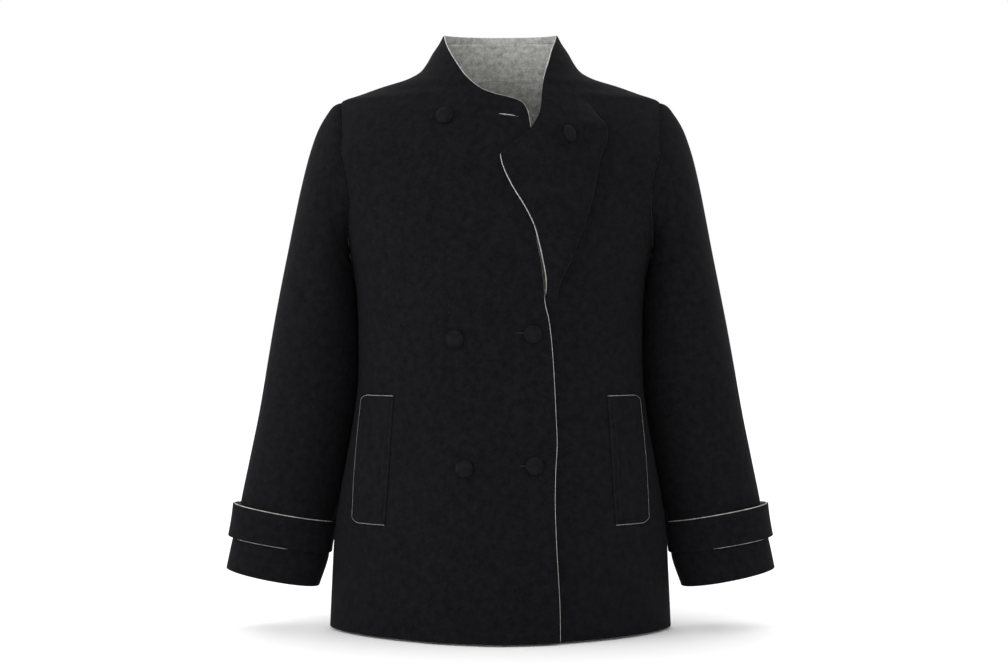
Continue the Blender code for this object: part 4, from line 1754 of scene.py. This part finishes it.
@dataclass(frozen=True)
class Buttonhole:
    """A worked buttonhole: a gap that shows the grey layer, between two lips of black thread.

    Attributes:
        name: The piece's name.
        start: The x and height of its left end.
        end: The x and height of its right end.
        gap: The gap's half width at its middle; 0 where a button closes it.
        lip: The lips' greatest radius.
    """

    name: str
    start: tuple[float, float]
    end: tuple[float, float]
    gap: float
    lip: float = 0.75

    def build(self, points: Array, normals: Array, finishes: Finishes) -> None:
        """Build the lips, and the gap between them, on the front.

        The lips swell from both ends as a power of a sine, with a fine wave for the stitches.

        Args:
            points: The grid of the front's outer face.
            normals: Its normals.
            finishes: The coat's materials.
        """
        share = np.linspace(0, 1, 60)
        x = self.start[0] + (self.end[0] - self.start[0]) * share
        z = self.start[1] + (self.end[1] - self.start[1]) * share
        seats = [Seat.on(points, normals, a, b) for a, b in zip(x, z)]
        out = unit(np.mean([seat.normal for seat in seats], axis=0))
        line = seats[0].point + (seats[-1].point - seats[0].point) * share[:, None]
        aside = np.cross(out, unit(seats[-1].point - seats[0].point))
        swell = np.sin(math.pi * share).clip(0) ** 0.7
        for sign, word in ((1, "upper"), (-1, "lower")):
            path = line + (sign * (self.gap * swell + 0.55 * self.lip))[:, None] * aside + 0.15 * out
            girth = self.lip * (0.35 + 0.65 * np.sin(math.pi * share).clip(0) ** 0.4)
            girth = girth * (1 + 0.12 * np.sin(share * 114))
            rope = tube(f"{self.name}_{word}_lip", path, girth, out, finishes.black_thread)
            dress(rope, "wool")
        if self.gap > 0:
            slack = line - (1.3 * self.gap * ease(share, 0.72, 1))[:, None] * aside + 0.3 * out
            girth = self.gap * (0.2 + 0.8 * np.sin(math.pi * share**0.8).clip(0))
            dress(tube(self.name + "_gap", slack, girth, out, finishes.inner), "wool")


def tube(name: str, path: Array, girth: Array, out: Array, finish: bpy.types.Material) -> bpy.types.Object:
    """Return a closed tube along a path, its section a circle of the girth at each point.

    Args:
        name: The piece's name.
        path: The points of its middle line.
        girth: Its radius at each.
        out: The direction away from the cloth.
        finish: Its material.

    Returns:
        The tube.
    """
    sides = 8
    aside = unit(np.cross(unit(np.gradient(path, axis=0)), out))
    angle = np.arange(sides) * 2 * math.pi / sides
    points = path[:, None] + girth[:, None, None] * (
        np.cos(angle)[:, None] * aside[:, None] + np.sin(angle)[:, None] * out
    )
    return add_mesh(name, points.reshape(-1, 3), rope_faces(len(path), sides), [finish])


# ---------------------------------------------------------------- the studio


@dataclass(frozen=True)
class Lamp:
    """A large soft round lamp that faces the coat.

    Attributes:
        name: The lamp's name.
        place: Where it is, in metres.
        size: How wide it is, in metres.
        power: Its power in watts.
        target: What it faces, in metres: the coat's middle.
    """

    name: str
    place: tuple[float, float, float]
    size: float
    power: float
    target: tuple[float, float, float] = (0.0, 0.0, -0.32)

    def build(self) -> None:
        """Add the lamp."""
        data = bpy.data.lights.new(self.name, "AREA")
        data.shape, data.size, data.energy = "DISK", self.size, self.power
        lamp = bpy.data.objects.new(self.name, data)
        back = unit(np.array(self.place) - np.array(self.target))
        lamp.location = self.place
        lamp.rotation_euler = (math.acos(back[2]), 0, math.atan2(back[1], back[0]) + math.pi / 2)
        bpy.context.scene.collection.objects.link(lamp)


@dataclass(frozen=True)
class Studio:
    """A white floor and surroundings, soft lamps, and the camera at the photograph's angle.

    Attributes:
        floor: The floor's height, in metres.
        floor_size: How wide the floor is, in metres.
        surround: The strength of the white surroundings.
        ceiling: The strength of the light from above.
        ceiling_angle: How wide that light is, in degrees.
        ceiling_lean: How many degrees it is turned from straight down; below 0 it falls towards
            the camera.
        camera_place: Where the camera is, in metres; it looks level at the coat.
        lens: Its focal length in millimetres, for a picture 36 mm wide.
    """

    floor: float = -0.6705
    floor_size: float = 30.0
    surround: float = 1.0
    ceiling: float = 1.0
    ceiling_angle: float = 76.0
    ceiling_lean: float = -26.0
    camera_place: tuple[float, float, float] = (0.0043, -2.3, -0.315)
    lens: float = 67.32

    def build(self) -> None:
        """Build the floor, lamps, surroundings and camera."""
        self._build_floor()
        for lamp in (
            Lamp("key lamp", (-2.0, -1.3, 0.8), 1.6, 21.0),
            Lamp("front lamp", (-0.6, -3.2, 1.0), 1.6, 1.5),
        ):
            lamp.build()
        self._build_ceiling()
        self._build_camera()

    def _build_ceiling(self) -> None:
        """Add the wide soft light from above, and the white surroundings."""
        data = bpy.data.lights.new("ceiling", "SUN")
        data.energy, data.angle = self.ceiling, math.radians(self.ceiling_angle)
        ceiling = bpy.data.objects.new("ceiling", data)
        ceiling.rotation_euler = (math.radians(self.ceiling_lean), 0, 0)
        bpy.context.scene.collection.objects.link(ceiling)
        world = bpy.data.worlds.new("white surroundings")
        world.use_nodes = True
        background = world.node_tree.nodes["Background"]
        background.inputs["Color"].default_value = (1, 1, 1, 1)
        background.inputs["Strength"].default_value = self.surround
        bpy.context.scene.world = world

    def _build_camera(self) -> None:
        """Add the camera."""
        data = bpy.data.cameras.new("camera")
        data.lens, data.sensor_width = self.lens, 36.0
        data.clip_start, data.clip_end = 0.05, 100.0
        camera = bpy.data.objects.new("camera", data)
        camera.location = self.camera_place
        camera.rotation_euler = (math.pi / 2, 0, 0)
        bpy.context.scene.collection.objects.link(camera)
        bpy.context.scene.camera = camera
        bpy.context.scene.view_settings.view_transform = "Standard"

    def _build_floor(self) -> None:
        """Add the floor, a plain slab with a faint paper grain."""
        half = self.floor_size / 2 / MM
        top, low = self.floor / MM, self.floor / MM - 10
        corners = np.array([(-half, -half), (half, -half), (half, half), (-half, half)])
        points = np.concatenate([np.c_[corners, np.full(4, low)], np.c_[corners, np.full(4, top)]])
        sides = [(k, (k + 1) % 4, 4 + (k + 1) % 4, 4 + k) for k in range(4)]
        faces = np.array([(0, 3, 2, 1), (4, 5, 6, 7), *sides])
        paper = bpy.data.materials.new("white paper")
        paper.use_nodes = True
        tree = paper.node_tree
        where = add_node(tree, "ShaderNodeTexCoord").outputs["Object"]
        grain = add_node(tree, "ShaderNodeTexNoise", {"Vector": where, "Scale": 300.0}).outputs[0]
        tone = mix_colours(tree, grain, (0.975, 0.975, 0.975, 1), (0.995, 0.995, 0.995, 1))
        shader = tree.nodes["Principled BSDF"]
        tree.links.new(tone, shader.inputs["Base Color"])
        shader.inputs["Roughness"].default_value = 0.9
        shader.inputs["Specular IOR Level"].default_value = 0.1
        add_mesh("studio_floor", points, faces, [paper])


# ---------------------------------------------------------------- the coat

# The right front's courses, from the hem to the collar's top. Near the neck each runs down a
# little towards the free edge.
RIGHT_ROWS = table(
    "outer_height edge_height edge_x",
    (-668, -668, 68.4),
    (-630, -630, 67.8),
    (-590, -590, 65.8),
    (-550, -550, 63.8),
    (-510, -510, 62.8),
    (-475, -475, 63.4),
    (-440, -440, 65.2),
    (-405, -405, 63.8),
    (-370, -370, 62.2),
    (-340, -340, 60.4),
    (-315, -315, 58.2),
    (-295, -295, 55.6),
    (-278, -278, 51.8),
    (-260, -260, 50.2),
    (-240, -240, 48.6),
    (-215, -215, 44.2),
    (-209, -209, 43.0),
    (-201, -201, 41.6),
    (-188, -188, 41.0),
    (-167, -167, 40.0),
    (-141, -141, 39.0),
    (-115, -115, 38.0),
    (-91, -91, 37.0),
    (-70, -71, 35.8),
    (-53, -54, 33.2),
    (-46, -48.0, 30.9),
    (-40, -43.2, 27.6),
    (-35, -39.6, 22.0),
    (-30, -36.6, 13.0),
    (-24, -32.8, -3.0),
    (-18, -28.5, -15.5),
    (-12, -21.5, -27.0),
    (-5, -13.0, -36.5),
    (0, -6.0, -42.5),
    (5, 1.5, -47.6),
    (14, 12.0, -54.0),
    (26, 25.0, -61.0),
    (38, 37.5, -66.4),
    (52.4, 52.0, -70.6),
)
# The left front's courses, from the hem to the collar's top. Below the break it is hidden and lies
# plain; above it the collar corner falls open.
LEFT_ROWS = table(
    "height edge_x fold_x fold_turn reach edge_lift",
    (-668, -60.0, 50.0, 0, 0, 0),
    (-625, -60.0, 50.0, 0, 0, 0),
    (-580, -60.0, 50.0, 0, 0, 0),
    (-535, -60.0, 50.0, 0, 0, 0),
    (-490, -60.0, 50.0, 0, 0, 0),
    (-445, -60.0, 50.0, 0, 0, 0),
    (-405, -60.0, 50.0, 0, 0, 0),
    (-370, -59.5, 50.5, 0, 0, 0),
    (-345, -57.0, 51.5, 0, 0, 0),
    (-325, -48.0, 53.0, 0, 0, 0),
    (-310, -28.0, 54.5, 0, 0, 0),
    (-298, 4.0, 56.0, 0, 0, 0),
    (-289, 30.0, 57.5, 0, 0, 0),
    (-281, 46.0, 58.5, 0, 0, 0),
    (-273, 52.2, 60.0, 15, 0, 0),
    (-264, 52.7, 63.5, 60, 0, 0.4),
    (-254, 52.5, 68.0, 110, 1, 0.9),
    (-242, 51.1, 73.0, 150, 4, 1.5),
    (-228, 48.4, 80.0, 172, 10, 2.2),
    (-215, 45.6, 85.5, 180, 16, 2.8),
    (-209, 44.2, 88.0, 180, 18, 3.1),
    (-201, 42.2, 91.0, 180, 20, 3.4),
    (-188, 38.5, 95.8, 180, 23, 3.7),
    (-167, 28.5, 102.5, 180, 26, 3.9),
    (-141, 12.6, 109.0, 180, 28, 3.9),
    (-122, 3.6, 112.6, 180, 28, 3.9),
    (-112, 0.4, 114.6, 180, 28, 3.9),
    (-105, -0.6, 117.0, 180, 27, 3.9),
    (-98, 5.6, 120.0, 180, 26, 3.9),
    (-91, 14.5, 122.8, 180, 23, 3.9),
    (-83, 25.2, 124.0, 180, 18, 3.9),
    (-76, 33.2, 122.6, 160, 9, 3.9),
    (-70, 38.0, 119.8, 128, 4, 3.8),
    (-62, 42.4, 115.0, 88, 1, 3.3),
    (-53, 45.9, 108.6, 52, 0, 2.6),
    (-46, 47.3, 103.2, 30, 0, 2.0),
    (-40, 47.9, 98.4, 15, 0, 1.6),
    (-30, 48.7, 91.0, 3, 0, 1.1),
    (-24, 49.2, 87.0, 0, 0, 1.3),
    (-18, 49.8, 84.0, 0, 0, 1.0),
    (-12, 50.6, 81.5, 0, 0, 0.8),
    (-5, 52.2, 79.0, 0, 0, 0.6),
    (0, 53.6, 78.0, 0, 0, 0.5),
    (5, 55.2, 77.0, 0, 0, 0.4),
    (14, 57.9, 76.5, 0, 0, 0.2),
    (26, 61.4, 75.5, 0, 0, 0),
    (38, 65.9, 73.2, 0, 0, 0),
    (52.4, 70.6, 70.6, 0, 0, 0),
)
# A sleeve's rings, from the armhole to the cuff's edge.
SLEEVE_RINGS = table(
    "outer_x outer_height under_x under_height half_depth middle",
    (-194.2, -30.2, -183.3, -214.7, 61, -3),
    (-203.0, -34.5, -184.8, -216.2, 62, -2),
    (-212.2, -46.0, -184.9, -220.6, 63, 0),
    (-222.0, -63.0, -183.4, -228.0, 64, 3),
    (-231.2, -88.0, -181.2, -238.0, 65, 6),
    (-238.2, -112.0, -179.0, -248.0, 66, 8),
    (-244.7, -138.0, -177.2, -258.0, 66, 10),
    (-251.7, -172.0, -175.6, -272.0, 66, 11),
    (-259.4, -212.0, -174.1, -292.0, 66, 12),
    (-268.8, -259.0, -173.1, -319.0, 65, 12),
    (-278.2, -307.0, -173.3, -351.0, 63, 12),
    (-286.8, -356.0, -175.7, -389.0, 60, 12),
    (-296.0, -410.0, -182.3, -433.0, 57, 11),
    (-306.5, -462.0, -191.0, -480.0, 54, 10),
    (-316.4, -509.0, -201.6, -524.5, 51, 10),
    (-321.8, -538.0, -205.6, -554.0, 49, 9),
    (-328.6, -567.0, -209.2, -583.0, 48, 8),
    (-335.0, -597.8, -221.6, -620.5, 47, 8),
)
# A welt's inner and outer line, from its top end to its lower one.
WELT_LINES = table(
    "along inner_x outer_x",
    (0.00, 124.0, 165.2),
    (0.30, 127.0, 169.3),
    (0.65, 130.0, 172.6),
    (1.00, 134.0, 174.5),
)
# The sleeves' creases: across, with 0 on the under side and the front below 0, and down.
RIGHT_SLEEVE_CREASES = table(
    CREASES,
    (20, 170, -70, 236, 11, 1.6),
    (12, 214, -58, 292, 12, 1.2),
    (-150, 330, -40, 372, 13, 1.2),
    (-24, 380, -110, 404, 12, 1.3),
    (-160, 452, -60, 436, 14, 0.8),
    (150, 330, 46, 366, 13, 1.3),
    (34, 404, 120, 386, 12, 1.2),
    (100, 180, 30, 240, 12, 1.3),
)
LEFT_SLEEVE_CREASES = table(
    CREASES,
    (24, 184, -64, 246, 11, 1.5),
    (8, 228, -72, 300, 12, 1.3),
    (-140, 346, -30, 386, 13, 1.3),
    (-30, 398, -124, 420, 12, 1.1),
    (-150, 474, -50, 452, 14, 0.8),
    (140, 344, 40, 372, 13, 1.2),
    (40, 412, 128, 398, 12, 1.2),
    (92, 190, 26, 252, 12, 1.3),
)


@dataclass
class Coat:
    """The whole coat.

    Attributes:
        finishes: Its materials.
    """

    finishes: Finishes

    def build(self) -> None:
        """Build every piece, the cut ones first and what is sewn to them after."""
        front = RightFront(RIGHT_ROWS).build(self.finishes)
        corner = LeftFront(LEFT_ROWS).build(self.finishes)
        Back().build(self.finishes)
        BackCollar().build(self.finishes)
        for side, word, creases in (
            (-1, "right", RIGHT_SLEEVE_CREASES),
            (1, "left", LEFT_SLEEVE_CREASES),
        ):
            Sleeve(side, word, SLEEVE_RINGS, creases).build(self.finishes)
            PocketWelt(side, word, WELT_LINES).build(self.finishes)
        self._fasten(front, corner)

    def _fasten(self, front: tuple[Array, Array], corner: tuple[Array, Array]) -> None:
        """Sew the buttons and work the buttonholes on the front and the fallen corner.

        Args:
            front: The right front's outer points and normals.
            corner: The fallen corner's.
        """
        for button, grid in (
            (Button("button_top_right", -64.6, -58.0, 0, 0.3), front),
            (Button("button_top_left", 78.2, -82.6, 42, 1.7), corner),
            (Button("button_middle_right", -52.3, -318.0, 0, 2.9), front),
            (Button("button_middle_left", 37.2, -312.5, 0, 4.4), front),
            (Button("button_low_right", -41.2, -467.8, 0, 5.2), front),
            (Button("button_low_left", 39.2, -464.5, 0, 0.9), front),
        ):
            button.build(Seat.on(*grid, button.x, button.height), self.finishes)
        for hole in (
            Buttonhole("top_buttonhole", (-1.5, -56.2), (20.6, -58.9), 0.6),
            Buttonhole("middle_buttonhole", (17.0, -311.5), (30.0, -311.5), 0.0, 0.5),
            Buttonhole("low_buttonhole", (22.7, -464.5), (33.0, -464.5), 0.0, 0.5),
        ):
            hole.build(*front, self.finishes)


def main() -> None:
    """Build the studio and the coat."""
    logging.basicConfig(level=logging.INFO, format="%(message)s")
    Studio().build()
    Coat(Finishes.make()).build()


if __name__ == "__main__":
    main()
